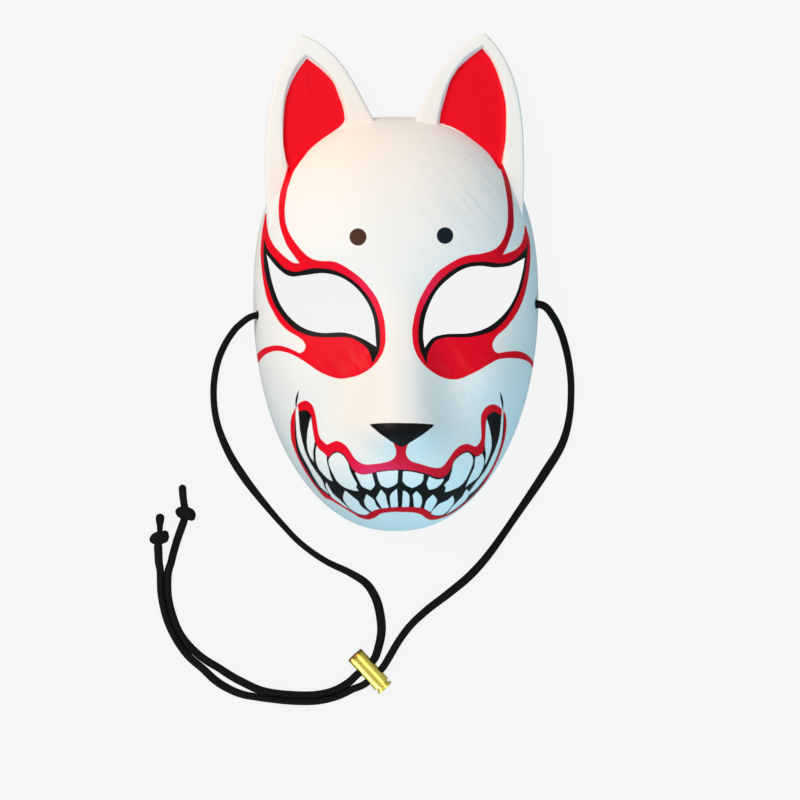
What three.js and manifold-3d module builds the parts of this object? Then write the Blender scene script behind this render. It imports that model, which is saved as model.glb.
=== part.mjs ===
// A kitsune mask with its tying cords and spring toggle, in millimetres.
// The mask lies face up on its rim: X is across the face, Y runs from the chin to the ears,
// and Z stands out of the face. The origin is on the floor, under the middle of the mask.

import * as THREE from 'three';
import { mergeVertices } from 'three/addons/utils/BufferGeometryUtils.js';
import Module from 'manifold-3d';

const wasm = await Module();
wasm.setup();

// Shell: an oval dome, widest a little below its middle
const FACE_HALF_WIDTH = 74.6;
const FACE_TOP_REACH = 96;
const FACE_CHIN_REACH = 120.7;
const FACE_WIDEST_Y = -9;
const FACE_DEPTH = 58;
const SHELL_WALL = 3;

// Facets of the shell's front and of its plainer inside
const OUTER_RINGS = 20;
const OUTER_SECTORS = 72;
const INNER_RINGS = 12;
const INNER_SECTORS = 48;

// Outline powers: 2 is an ellipse, more is squarer. The chin also narrows by a small taper.
const SIDE_POWER = 2.3;
const TOP_POWER = 2.5;
const CHIN_POWER = 2;
const CHIN_TAPER = 0.07;
const CHIN_TAPER_POWER = 4;
const JAW_FULLNESS = 0.7;

// Relief over the dome: each hill has its middle, its two half widths and its height.
// It dies away at the rim, the later the higher the fade's power.
const RELIEF = {
  muzzle: { x: 0, y: -97, wide: 40, tall: 26, rise: 18 },
  lip: { x: 17, y: -84, wide: 14, tall: 12, rise: 3 },
  socket: { x: 40, y: -12, wide: 24, tall: 18, rise: -5 },
  cheek: { x: 46, y: -50, wide: 16, tall: 16, rise: 2.5 },
};
const RELIEF_FADE = 6;
const NOSE = { y: -71, wide: 21, browWide: 11, bridge: 44, underside: 15, rise: 17, power: 2.6 };

// The lids and the ears are drawn on a face of this half width and follow its real one
const DRAWN_HALF_WIDTH = 74.6;
const FACE_SCALE = FACE_HALF_WIDTH / DRAWN_HALF_WIDTH;

// Each eye is cut between an upper and a lower lid, from the outer corner round to the inner one
const EYES = {
  left: {
    upper: [[-67.4, 14], [-61.4, 6.3], [-55.2, 1.9], [-47.6, 2.2], [-37.5, 2.9], [-27.5, -0.3],
      [-19, -7.9], [-13.4, -19], [-11.9, -34.6]],
    lower: [[-11.9, -34.6], [-19.5, -30], [-28.5, -27.2], [-40, -27.2], [-50.1, -23.6],
      [-58.8, -14.7], [-64, -2.2], [-67.4, 14]],
  },
  right: {
    upper: [[65.8, 12.3], [61.1, 9.6], [56.7, 7.4], [49, 6.3], [40.7, 6.8], [33, 5.3], [25.5, 0.6],
      [18.1, -6.9], [13, -18], [11.4, -28], [12.1, -35.1]],
    lower: [[12.1, -35.1], [16.5, -30], [23.5, -28], [35.6, -27.3], [46.1, -23.6], [55.2, -15.8],
      [60.9, -6.4], [64.4, 5], [65.8, 12.3]],
  },
};
const LID_STEPS = 3;

// Each ear is a leaf: an outer and an inner edge from the head up to the tip, and inside them
// the two edges of the hollow
const EARS = {
  left: {
    outer: [[-65, 16], [-70.5, 62], [-70.5, 108], [-48.6, 128.2]],
    inner: [[-8, 78], [-20, 94], [-24, 119], [-48.6, 128.2]],
    hollowOuter: [[-54, 52], [-61.5, 78], [-58.5, 104], [-46.5, 116.2]],
    hollowInner: [[-26.5, 76], [-27.5, 100], [-36, 108], [-46.5, 116.2]],
  },
  right: {
    outer: [[65, 16], [64, 60], [73, 104], [46, 129.7]],
    inner: [[8, 79], [15, 98], [22, 119], [46, 129.7]],
    hollowOuter: [[51, 50], [58.5, 75], [58, 105], [44.5, 121.4]],
    hollowInner: [[22, 77], [24, 98], [30, 113], [44.5, 121.4]],
  },
};
const EAR_STEPS = 9;
const EAR_THICKNESS = 8;
const EAR_RIM_Z = 18.5;
const EAR_ROOT_Y = 75;
const EAR_LEAN = 0.1;
const EAR_HOLLOW_DEPTH = 2.6;
const EAR_HOLLOW_SLOPE = 2.2;
const EAR_EDGE_ROUND = 1.6;

// Section of an ear's edge from the back up: how far each ring is drawn in, in roundings of the
// edge, and how far it lies below the rim, in thicknesses of the ear
const EAR_SECTION = [
  { drawnIn: 2, down: 1 },
  { drawnIn: 1, down: 0.85 },
  { drawnIn: 0, down: 0.6 },
  { drawnIn: 0, down: 0.2 },
  { drawnIn: 0.3, down: 0.06 },
  { drawnIn: 1, down: 0 },
];

// Cords, their holes in the sides of the mask, and their knots
const CORD_DIAMETER = 4;
const CORD_HOLE_CLEARANCE = 0.6;
const CORD_HOLE_LENGTH = 8 * SHELL_WALL;
const CORD_SIDES = 8;
const CORD_STEP = 2 * CORD_DIAMETER;
const TOUCH_GAP = 0.3;
const HOLE_Z = 15;
const HOLE_Y = { left: -17.2, right: -11.2 };

// Spring toggle: a closed barrel with a sprung plunger, both pierced twice for the two cords
const BARREL_DIAMETER = 9.3;
const BARREL_LENGTH = 21;
const BARREL_WALL = 0.9;
const BARREL_END = 1.4;
const BARREL_CHAMFER = 0.5;
const PLUNGER_CLEARANCE = 0.3;
const PLUNGER_TRAVEL = 1.2;
const PRESSED_SPRING = 1.8;
const BUTTON_DIAMETER = 9;
const BUTTON_THICKNESS = 1.3;
const CORD_WAY_CLEARANCE = 0.55;
const CORD_WAY_SPACING = 6.4;
const FIRST_WAY_AT = 8.6;
const TOGGLE_PLACE = { x: -21.7, y: -193.9, turn: -47.7 };
const ROUND_SIDES = 24;

// The cords' ways over the floor, chosen by hand, from the hole in the mask to the tail's knot
const CORD_Z = CORD_DIAMETER / 2;
const TOGGLE_Z = BARREL_DIAMETER / 2;
const CORD_LEFT_WAY = [
  [-68.9, -17.2, 15], [-72.8, -17.3, 15], [-76.2, -18.4, 14.8], [-78.9, -20.1, 12.6],
  [-81.2, -21.9, 8.9], [-83.6, -23.9, 5.3], [-86, -26.9, 2.8], [-88.8, -31.2, CORD_Z],
  [-93, -41, CORD_Z], [-95.2, -55.3, CORD_Z], [-93.7, -71.7, CORD_Z], [-87.8, -87.6, CORD_Z],
  [-79.1, -101.8, CORD_Z], [-68.5, -115.5, CORD_Z], [-59.3, -126.2, CORD_Z], [-50, -135.8, CORD_Z],
  [-36.9, -145.2, CORD_Z], [-24.2, -151.4, CORD_Z], [-15.4, -157.2, CORD_Z], [-10.5, -165, CORD_Z],
  [-8.2, -173.7, CORD_Z], [-7.6, -182, 2.2], [-9.1, -189.9, 3.3], [-11.5, -196.3, TOGGLE_Z],
  [-15.9, -200.3, TOGGLE_Z], [-20.3, -204.3, TOGGLE_Z], [-26, -208.9, 3], [-32.8, -212.6, CORD_Z],
  [-42, -214.6, CORD_Z], [-54.4, -214.6, CORD_Z], [-68.5, -212.8, CORD_Z], [-81.6, -207.6, CORD_Z],
  [-92.6, -200.8, CORD_Z], [-103.9, -192.5, CORD_Z], [-112, -183, CORD_Z], [-116.1, -173.2, CORD_Z],
  [-118.4, -163.4, CORD_Z], [-118.5, -152.1, CORD_Z], [-116.8, -143.5, CORD_Z], [-114.1, -133.9, 2.3],
  [-110.7, -124.4, 3.5],
];
const CORD_RIGHT_WAY = [
  [68.9, -11.2, 15], [73, -11.3, 15], [76.4, -12.2, 14.8], [78.9, -14.1, 12.6], [81, -16.4, 8.9],
  [83.3, -19.3, 5.3], [85.4, -23, 2.8], [87.4, -27.9, CORD_Z], [89.9, -37.1, CORD_Z],
  [91.6, -48, CORD_Z], [91.9, -59, CORD_Z], [90.9, -70.9, CORD_Z], [87.2, -84.1, CORD_Z],
  [77.9, -99.6, CORD_Z], [64.2, -119.9, CORD_Z], [48, -142.8, CORD_Z], [38.5, -153.3, CORD_Z],
  [27.8, -162.2, CORD_Z], [15.8, -171.4, CORD_Z], [7.4, -179.3, CORD_Z], [1.3, -187.4, 2.3],
  [-3.4, -195.2, 3.4], [-7.2, -201, TOGGLE_Z], [-11.6, -205, TOGGLE_Z], [-16, -209, TOGGLE_Z],
  [-22.7, -212.9, 3], [-30.6, -216.7, CORD_Z], [-40.5, -219, CORD_Z], [-52, -219.2, CORD_Z],
  [-64.5, -218, CORD_Z], [-78.3, -215.5, CORD_Z], [-90.7, -209.9, CORD_Z], [-100.3, -202.3, CORD_Z],
  [-108.9, -194.9, CORD_Z], [-115.7, -185.4, CORD_Z], [-120.5, -174.7, CORD_Z],
  [-123.1, -162.6, CORD_Z], [-123.5, -151, CORD_Z], [-123.8, -143, 2.4], [-124, -137, 3.5],
];

// The knots: the two on the tails lie on the floor, and the two inside the mask hold the cords.
// The free end of an inner knot turns down where it leaves the lump and falls to its tip.
const TAIL_KNOT = { across: 10.4, along: 7.4, tall: 7 };
const INNER_KNOT = { across: 9, along: 7, tall: 8 };
const INNER_END = { turn: 2, drop: 2.5, reach: 3.4, aside: -3, fall: 6.5 };
const KNOT_SIDES = 12;
const KNOT_RINGS = 8;
const KNOT_END_STEPS = 8;
const TAIL_ENDS = {
  left: [[-109.7, -120.1, 3.6], [-110.5, -115.4, 3.1], [-111.2, -110.2, 2.3], [-111.5, -105.1, CORD_Z]],
  right: [[-123.3, -132.9, 3.6], [-123.1, -128.9, 3.1], [-123.1, -124.8, 2.3], [-123, -120.2, CORD_Z]],
};

const LACQUER_WHITE = new THREE.MeshStandardMaterial({ color: 0xf2efe8, roughness: 0.45, metalness: 0 });
const CORD_BLACK = new THREE.MeshStandardMaterial({ color: 0x14110e, roughness: 0.85, metalness: 0 });
const BRASS = new THREE.MeshStandardMaterial({ color: 0xd9b64a, roughness: 0.28, metalness: 1 });

// Geometry of a closed mesh from its corners and its triangles
function meshOf(corners, triangles) {
  const geometry = new THREE.BufferGeometry();
  geometry.setAttribute('position', new THREE.Float32BufferAttribute(corners.flat(), 3));
  geometry.setIndex(triangles.flat());
  return geometry;
}

// The solid that a closed geometry bounds
function solidOf(geometry) {
  const bare = geometry.clone();
  bare.deleteAttribute('normal');
  bare.deleteAttribute('uv');
  const merged = mergeVertices(bare);
  return new wasm.Manifold(new wasm.Mesh({
    numProp: 3,
    vertProperties: Float32Array.from(merged.attributes.position.array),
    triVerts: Uint32Array.from(merged.index.array),
  }));
}

// A geometry for the triangles of a solid
function geometryOf(solid) {
  const mesh = solid.getMesh();
  const geometry = new THREE.BufferGeometry();
  geometry.setAttribute('position', new THREE.BufferAttribute(mesh.vertProperties, 3));
  geometry.setIndex(new THREE.BufferAttribute(mesh.triVerts, 1));
  return geometry;
}

function pieceOf(name, geometry, material) {
  geometry.deleteAttribute('normal');
  geometry.deleteAttribute('uv');
  const shaded = mergeVertices(geometry);
  shaded.computeVertexNormals();
  const mesh = new THREE.Mesh(shaded, material);
  mesh.name = name;
  return mesh;
}

// A closed solid through rings of equally many corners, the lowest ring first,
// each ring running anticlockwise seen from above and closed by a fan from its middle
function stackOf(rings) {
  const count = rings[0].length;
  const corners = rings.flat();
  const middleOf = (ring) => [0, 1, 2].map((axis) => ring.reduce((sum, p) => sum + p[axis], 0) / count);
  const lowest = corners.push(middleOf(rings[0])) - 1;
  const highest = corners.push(middleOf(rings.at(-1))) - 1;
  const last = (rings.length - 1) * count;
  const triangles = [];
  for (let k = 0; k < count; k += 1) {
    const next = (k + 1) % count;
    for (let low = 0; low < last; low += count) {
      const high = low + count;
      triangles.push([low + k, low + next, high + next], [low + k, high + next, high + k]);
    }
    triangles.push([lowest, next, k], [last + k, last + next, highest]);
  }
  return meshOf(corners, triangles);
}

// Relief of one hill at a place: its rise at its middle, falling off as a bell
function hillAt(x, y, hill, middleX) {
  const across = (x - middleX) / hill.wide;
  const along = (y - hill.y) / hill.tall;
  return hill.rise * Math.exp(-across * across - along * along);
}

// How far out a place lies: 0 at the middle of the face and 1 on its outline.
// The inset draws a smaller face inside the first, for the hollow behind.
function spreadAt(x, y, inset) {
  const up = y - FACE_WIDEST_Y;
  const reach = (up > 0 ? FACE_TOP_REACH : FACE_CHIN_REACH) - inset;
  const tall = Math.abs(up) / reach;
  const below = up > 0 ? 0 : tall;
  const wide = (FACE_HALF_WIDTH - inset) * (1 - CHIN_TAPER * below ** CHIN_TAPER_POWER);
  const power = up > 0 ? TOP_POWER : CHIN_POWER;
  const spread = Math.abs(x / wide) ** SIDE_POWER + tall ** power;
  return Math.min(spread, 1) ** (1 + JAW_FULLNESS * Math.min(below, 1));
}

// Height of the face over its rim: the dome, and over it the muzzle, the nose with its bridge,
// the lips, the eye sockets and the cheeks, which all die away towards the rim
function heightAt(x, y, inset) {
  const spread = spreadAt(x, y, inset);
  const dome = (FACE_DEPTH - inset) * Math.sqrt(1 - spread);
  const fade = 1 - spread ** RELIEF_FADE;
  const slope = y > NOSE.y ? NOSE.bridge : NOSE.underside;
  const along = Math.abs(y - NOSE.y) / slope;
  const wide = NOSE.browWide + (NOSE.wide - NOSE.browWide) * Math.exp(-along * along);
  const nose = NOSE.rise * Math.exp(-(Math.abs(x / wide) ** NOSE.power) - along ** NOSE.power);
  let relief = nose + hillAt(x, y, RELIEF.muzzle, 0);
  for (const hill of [RELIEF.lip, RELIEF.socket, RELIEF.cheek]) {
    relief += hillAt(x, y, hill, hill.x) + hillAt(x, y, hill, -hill.x);
  }
  return dome + fade * relief;
}

// A place of the face's outline: the superellipse of its own half, narrowed at the chin
function outlineAt(angle, inset) {
  const right = Math.cos(angle);
  const up = Math.sin(angle);
  const power = up > 0 ? TOP_POWER : CHIN_POWER;
  const reach = (up > 0 ? FACE_TOP_REACH : FACE_CHIN_REACH) - inset;
  const tall = Math.abs(up) ** (2 / power);
  const below = up > 0 ? 0 : tall;
  const wide = (FACE_HALF_WIDTH - inset) * (1 - CHIN_TAPER * below ** CHIN_TAPER_POWER);
  const x = wide * Math.sign(right) * Math.abs(right) ** (2 / SIDE_POWER);
  return [x, FACE_WIDEST_Y + reach * Math.sign(up) * tall];
}

// The solid under the face: rings from the rim to the middle, closer together near the rim,
// where the wall stands steeply. A foot below the rim is for cutting with.
function faceSolid(inset, rings, sectors, foot) {
  const heights = [];
  for (let ring = 0; ring < rings; ring += 1) {
    const out = Math.cos((ring / rings) * (Math.PI / 2));
    const corners = [];
    for (let k = 0; k < sectors; k += 1) {
      const [rimX, rimY] = outlineAt((k / sectors) * 2 * Math.PI, inset);
      const x = rimX * out;
      const y = FACE_WIDEST_Y + (rimY - FACE_WIDEST_Y) * out;
      corners.push([x, y, ring === 0 ? 0 : heightAt(x, y, inset)]);
    }
    heights.push(corners);
  }
  if (foot > 0) {
    heights.unshift(heights[0].map(([x, y]) => [x, y, -foot]));
  }
  return solidOf(stackOf(heights));
}

// Points along a smooth curve through the drawn ones
function throughPoints(points) {
  const drawn = points.map(([x, y]) => new THREE.Vector2(x * FACE_SCALE, y * FACE_SCALE));
  const curve = new THREE.SplineCurve(drawn);
  return curve.getPoints(LID_STEPS * (points.length - 1));
}

// The cutter of an eye hole: straight down through the shell between the two lids
function eyeCutter(eye) {
  const upper = throughPoints(eye.upper);
  const lower = throughPoints(eye.lower);
  const outline = new THREE.Shape([...upper.slice(0, -1), ...lower.slice(0, -1)]);
  const cutter = new THREE.ExtrudeGeometry(outline, { depth: FACE_DEPTH + NOSE.rise, bevelEnabled: false });
  return solidOf(cutter);
}

// A leaf from its two edges, running anticlockwise
function leafOf(outer, inner) {
  const edge = (points) => {
    const [a, b, c, d] = points.map(([x, y]) => new THREE.Vector2(x * FACE_SCALE, y * FACE_SCALE));
    return new THREE.CubicBezierCurve(a, b, c, d).getPoints(EAR_STEPS);
  };
  const leaf = [...edge(outer), ...edge(inner).reverse().slice(1)];
  return THREE.ShapeUtils.isClockWise(leaf) ? leaf.reverse() : leaf;
}

// The same leaf drawn in, or out where the amount is negative, along the mean of the two
// normals at each corner
function drawIn(leaf, amount) {
  return leaf.map((corner, k) => {
    const before = leaf[(k + leaf.length - 1) % leaf.length];
    const after = leaf[(k + 1) % leaf.length];
    const run = after.clone().sub(before).normalize();
    return new THREE.Vector2(corner.x - run.y * amount, corner.y + run.x * amount);
  });
}

// Height of an ear's rim: it leans back towards the tip
function earRimAt(y) {
  return EAR_RIM_Z - EAR_LEAN * (y - EAR_ROOT_Y * FACE_SCALE);
}

function earRing(leaf, amount, drop) {
  return drawIn(leaf, amount).map(({ x, y }) => [x, y, earRimAt(y) - drop]);
}

// An ear: a leaf with a rounded edge and back, and a hollow with sloping sides in its front
function earSolid(ear) {
  const leaf = leafOf(ear.outer, ear.inner);
  const plate = stackOf(EAR_SECTION.map(
    ({ drawnIn, down }) => earRing(leaf, drawnIn * EAR_EDGE_ROUND, down * EAR_THICKNESS),
  ));
  const hollow = leafOf(ear.hollowOuter, ear.hollowInner);
  const cutter = stackOf([
    earRing(hollow, 0, EAR_HOLLOW_DEPTH),
    earRing(hollow, -EAR_HOLLOW_SLOPE, 0),
    earRing(hollow, -EAR_HOLLOW_SLOPE, -EAR_HOLLOW_DEPTH),
  ]);
  return solidOf(plate).subtract(solidOf(cutter));
}

// The cutter of a cord hole: a round way through the side wall, along X
function holeCutter(side) {
  const radius = CORD_DIAMETER / 2 + CORD_HOLE_CLEARANCE;
  const way = new THREE.CylinderGeometry(radius, radius, CORD_HOLE_LENGTH, ROUND_SIDES / 2);
  way.rotateZ(Math.PI / 2);
  way.translate((side === 'left' ? -1 : 1) * (FACE_HALF_WIDTH - SHELL_WALL), HOLE_Y[side], HOLE_Z);
  return solidOf(way);
}

function maskShell() {
  let shell = faceSolid(0, OUTER_RINGS, OUTER_SECTORS, 0);
  for (const ear of Object.values(EARS)) {
    shell = shell.add(earSolid(ear));
  }
  shell = shell.subtract(faceSolid(SHELL_WALL, INNER_RINGS, INNER_SECTORS, SHELL_WALL));
  for (const side of ['left', 'right']) {
    shell = shell.subtract(eyeCutter(EYES[side])).subtract(holeCutter(side));
  }
  return pieceOf('mask_shell', geometryOf(shell), LACQUER_WHITE);
}

// A round cord of one thickness along a smooth way
function cordAlong(way, steps) {
  const section = new THREE.Shape();
  for (let k = 0; k < CORD_SIDES; k += 1) {
    const turn = ((k + 0.5) / CORD_SIDES) * 2 * Math.PI;
    const corner = [(CORD_DIAMETER / 2) * Math.cos(turn), (CORD_DIAMETER / 2) * Math.sin(turn)];
    if (k === 0) {
      section.moveTo(...corner);
    } else {
      section.lineTo(...corner);
    }
  }
  section.closePath();
  return new THREE.ExtrudeGeometry(section, { steps, extrudePath: way, bevelEnabled: false });
}

function wayThrough(points) {
  return new THREE.CatmullRomCurve3(points.map((point) => new THREE.Vector3(...point)), false, 'centripetal');
}

function cord(name, points) {
  const way = wayThrough(points);
  return pieceOf(name, cordAlong(way, Math.round(way.getLength() / CORD_STEP)), CORD_BLACK);
}

// A knot: a lump across the cord's line, and the short free end past it
function knot(name, size, points) {
  const [from, towards] = points.map((point) => new THREE.Vector3(...point));
  const lump = new THREE.SphereGeometry(0.5, KNOT_SIDES, KNOT_RINGS);
  lump.scale(size.along, size.across, size.tall);
  lump.rotateZ(Math.atan2(towards.y - from.y, towards.x - from.x));
  lump.translate(from.x, from.y, from.z);
  const end = cordAlong(wayThrough(points), KNOT_END_STEPS);
  return pieceOf(name, geometryOf(solidOf(lump).add(solidOf(end))), CORD_BLACK);
}

// The knot inside the mask stands off the wall by the touching gap, on the line of the hole
function innerKnot(side) {
  const out = side === 'left' ? -1 : 1;
  const [wallX] = (side === 'left' ? CORD_LEFT_WAY : CORD_RIGHT_WAY)[0];
  const x = wallX - out * (INNER_KNOT.along / 2 + TOUCH_GAP);
  const points = [
    [x, HOLE_Y[side], HOLE_Z],
    [x - out * INNER_END.turn, HOLE_Y[side], HOLE_Z - INNER_END.drop],
    [x - out * INNER_END.reach, HOLE_Y[side] + INNER_END.aside, HOLE_Z - INNER_END.fall],
  ];
  return knot(`inner_knot_${side}`, INNER_KNOT, points);
}

// A turned piece of the toggle, from its profile of radius and place along the axis
function turned(profile) {
  const points = profile.map(([radius, along]) => new THREE.Vector2(radius, along));
  const lathe = new THREE.LatheGeometry(points, ROUND_SIDES);
  lathe.rotateZ(-Math.PI / 2);
  return solidOf(lathe);
}

// A way for a cord across the toggle's axis, longer along the axis by the given amount
function wayAcross(at, stretch) {
  const radius = CORD_DIAMETER / 2 + CORD_WAY_CLEARANCE;
  const outline = new THREE.Shape();
  outline.absarc(stretch / 2, 0, radius, -Math.PI / 2, Math.PI / 2, false);
  outline.absarc(-stretch / 2, 0, radius, Math.PI / 2, (3 * Math.PI) / 2, false);
  const way = new THREE.ExtrudeGeometry(outline, {
    depth: 2 * BARREL_DIAMETER, bevelEnabled: false, curveSegments: ROUND_SIDES / 4,
  });
  way.translate(at, 0, -BARREL_DIAMETER);
  way.rotateX(Math.PI / 2);
  return solidOf(way);
}

const WAYS_AT = [FIRST_WAY_AT, FIRST_WAY_AT + CORD_WAY_SPACING];

function toggleBarrel() {
  const radius = BARREL_DIAMETER / 2;
  const bore = radius - BARREL_WALL;
  let barrel = turned([[0, 0], [radius - BARREL_CHAMFER, 0], [radius, BARREL_CHAMFER],
    [radius, BARREL_LENGTH - BARREL_CHAMFER], [radius - BARREL_CHAMFER, BARREL_LENGTH],
    [bore, BARREL_LENGTH], [bore, BARREL_END], [0, BARREL_END]]);
  for (const at of WAYS_AT) {
    barrel = barrel.subtract(wayAcross(at, 0));
  }
  return pieceOf('toggle_barrel', geometryOf(barrel), BRASS);
}

// The plunger stands out by its travel. Its ways are longer than the barrel's by its travel
// too, so it moves past the cords.
function togglePlunger() {
  const radius = BARREL_DIAMETER / 2 - BARREL_WALL - PLUNGER_CLEARANCE;
  const button = BUTTON_DIAMETER / 2;
  const innerEnd = BARREL_END + PRESSED_SPRING + PLUNGER_TRAVEL;
  const buttonAt = BARREL_LENGTH + PLUNGER_CLEARANCE + PLUNGER_TRAVEL;
  const top = buttonAt + BUTTON_THICKNESS;
  let plunger = turned([[0, innerEnd], [radius, innerEnd], [radius, buttonAt], [button, buttonAt],
    [button, top], [0, top]]);
  for (const at of WAYS_AT) {
    plunger = plunger.subtract(wayAcross(at + PLUNGER_TRAVEL / 2, PLUNGER_TRAVEL));
  }
  return pieceOf('toggle_plunger', geometryOf(plunger), BRASS);
}

function toggle() {
  const group = new THREE.Group();
  group.add(toggleBarrel(), togglePlunger());
  group.position.set(TOGGLE_PLACE.x, TOGGLE_PLACE.y, TOGGLE_Z);
  group.rotation.z = THREE.MathUtils.degToRad(TOGGLE_PLACE.turn);
  return group;
}

const mask = new THREE.Group();
mask.add(
  maskShell(),
  cord('cord_left', CORD_LEFT_WAY),
  cord('cord_right', CORD_RIGHT_WAY),
  innerKnot('left'),
  innerKnot('right'),
  knot('tail_knot_left', TAIL_KNOT, TAIL_ENDS.left),
  knot('tail_knot_right', TAIL_KNOT, TAIL_ENDS.right),
  toggle(),
);

export default mask;
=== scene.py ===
# A kitsune mask lying face up on a pale floor, with its two tying cords and their brass toggle.
import math
from functools import reduce

import bmesh
import bpy
import numpy as np
from mathutils import Matrix, Vector


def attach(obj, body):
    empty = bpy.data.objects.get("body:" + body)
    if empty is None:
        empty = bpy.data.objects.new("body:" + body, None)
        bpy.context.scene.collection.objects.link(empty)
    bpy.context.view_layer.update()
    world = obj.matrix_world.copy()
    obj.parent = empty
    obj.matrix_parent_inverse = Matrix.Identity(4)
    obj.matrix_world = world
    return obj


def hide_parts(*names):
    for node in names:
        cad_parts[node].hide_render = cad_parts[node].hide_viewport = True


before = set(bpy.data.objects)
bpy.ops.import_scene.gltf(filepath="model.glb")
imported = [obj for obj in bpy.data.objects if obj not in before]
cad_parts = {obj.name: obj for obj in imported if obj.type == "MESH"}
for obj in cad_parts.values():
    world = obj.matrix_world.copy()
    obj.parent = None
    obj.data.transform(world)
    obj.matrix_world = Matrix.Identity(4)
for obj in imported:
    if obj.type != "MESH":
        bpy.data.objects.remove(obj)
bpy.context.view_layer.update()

# Sizes are in millimetres, as in the part's source, and meshes are made in metres.
# X is across the face, Y runs from the chin to the ears, and Z stands out of the face.
MM = 0.001
UP = np.array((0, 0, 1.0))

# Camera: it looks down from a little to the left of the mask
PICTURE_SIDE = 800
CAMERA_EYE = np.array((-48, -61.1, 1300))
CAMERA_AIM = np.array((1.8, -61.1, 10))
PIXEL_AT_AIM = 0.52
SENSOR_SIDE = 36
CAMERA_REACH = 10000

# Shell: an oval dome, widest a little below its middle
FACE_HALF_WIDTH = 74.6
FACE_TOP_REACH = 96
FACE_CHIN_REACH = 120.7
FACE_WIDEST_Y = -9
FACE_DEPTH = 58
SHELL_WALL = 3
SIDE_POWER = 2.3
TOP_POWER = 2.5
CHIN_POWER = 2
CHIN_TAPER = 0.07
CHIN_TAPER_POWER = 4
JAW_FULLNESS = 0.7
RELIEF_FADE = 6

# The shell's mesh: rings from the rim inwards, first in the steep wall, then where the paint is
# fine and then in the middle, and turns round it, first past the mouth and then past the rest
STEEP_SHARE = 0.97
FINE_SHARE = 0.52
MOUTH_FROM = -170
MOUTH_TO = -10
FRONT_RINGS = (16, 66, 46)
FRONT_TURNS = (392, 170)
HOLLOW_RINGS = (10, 18, 22)
HOLLOW_TURNS = (90, 80)
SHELL_SHARP_ANGLE = math.radians(38)

# Relief over the dome: middle, half widths and height of each hill, and the nose with its bridge
MUZZLE = {"x": 0, "y": -97, "wide": 40, "tall": 26, "rise": 18}
PAIRED_HILLS = {
    "lip": {"x": 17, "y": -84, "wide": 14, "tall": 12, "rise": 3},
    "socket": {"x": 40, "y": -12, "wide": 24, "tall": 18, "rise": -5},
    "cheek": {"x": 46, "y": -50, "wide": 16, "tall": 16, "rise": 2.5},
}
NOSE_Y = -71
NOSE_WIDE = 21
NOSE_BROW_WIDE = 11
NOSE_BRIDGE = 44
NOSE_UNDERSIDE = 15
NOSE_RISE = 17
NOSE_POWER = 2.6

# Eye holes, cut between an upper and a lower lid, from the outer corner round to the inner one
EYES = {
    "left": (
        [(-67.4, 14), (-61.4, 6.3), (-55.2, 1.9), (-47.6, 2.2), (-37.5, 2.9), (-27.5, -0.3),
         (-19, -7.9), (-13.4, -19), (-11.9, -34.6)],
        [(-11.9, -34.6), (-19.5, -30), (-28.5, -27.2), (-40, -27.2), (-50.1, -23.6),
         (-58.8, -14.7), (-64, -2.2), (-67.4, 14)],
    ),
    "right": (
        [(65.8, 12.3), (61.1, 9.6), (56.7, 7.4), (49, 6.3), (40.7, 6.8), (33, 5.3), (25.5, 0.6),
         (18.1, -6.9), (13, -18), (11.4, -28), (12.1, -35.1)],
        [(12.1, -35.1), (16.5, -30), (23.5, -28), (35.6, -27.3), (46.1, -23.6), (55.2, -15.8),
         (60.9, -6.4), (64.4, 5), (65.8, 12.3)],
    ),
}
LID_STEPS = 8
CUT_BELOW = 1

# Ears: the edges of each leaf and of the hollow in its front, from the head up to the tip
EARS = {
    "left": {
        "outer": [(-65, 16), (-70.5, 62), (-70.5, 108), (-48.6, 128.2)],
        "inner": [(-8, 78), (-20, 94), (-24, 119), (-48.6, 128.2)],
        "hollow_outer": [(-54, 52), (-61.5, 78), (-58.5, 104), (-46.5, 116.2)],
        "hollow_inner": [(-26.5, 76), (-27.5, 100), (-36, 108), (-46.5, 116.2)],
    },
    "right": {
        "outer": [(65, 16), (64, 60), (73, 104), (46, 129.7)],
        "inner": [(8, 79), (15, 98), (22, 119), (46, 129.7)],
        "hollow_outer": [(51, 50), (58.5, 75), (58, 105), (44.5, 121.4)],
        "hollow_inner": [(22, 77), (24, 98), (30, 113), (44.5, 121.4)],
    },
}
EAR_STEPS = 64
EAR_BASE_STEPS = 16
EAR_THICKNESS = 8
EAR_RIM_Z = 18.5
EAR_ROOT_Y = 75
EAR_LEAN = 0.1
EAR_HOLLOW_DEPTH = 2.6
EAR_HOLLOW_SLOPE = 2.2
EAR_SLOPE_MOST = 0.9
EAR_EDGE_ROUND = 1.6
EAR_BACK_ROUND = 3.2

# Rings of an ear's mesh, and how near its middle line they come
EAR_ROUND_STEPS = 6
EAR_RIM_STEPS = 4
EAR_SLOPE_STEPS = 8
EAR_FLOOR_STEPS = 7
EAR_BACK_STEPS = 5
EAR_MIDDLE_REACH = 0.96
EAR_SPINE_REACH = 0.9

# Cords and the holes that they go through, one on each side of the mask
OUTWARDS = {"left": -1, "right": 1}
CORD_DIAMETER = 4
CORD_HOLE_CLEARANCE = 0.6
CORD_HOLE_LENGTH = 8 * SHELL_WALL
HOLE_Z = 15
HOLE_Y = {"left": -17.2, "right": -11.2}
TOUCH_GAP = 0.3

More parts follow.
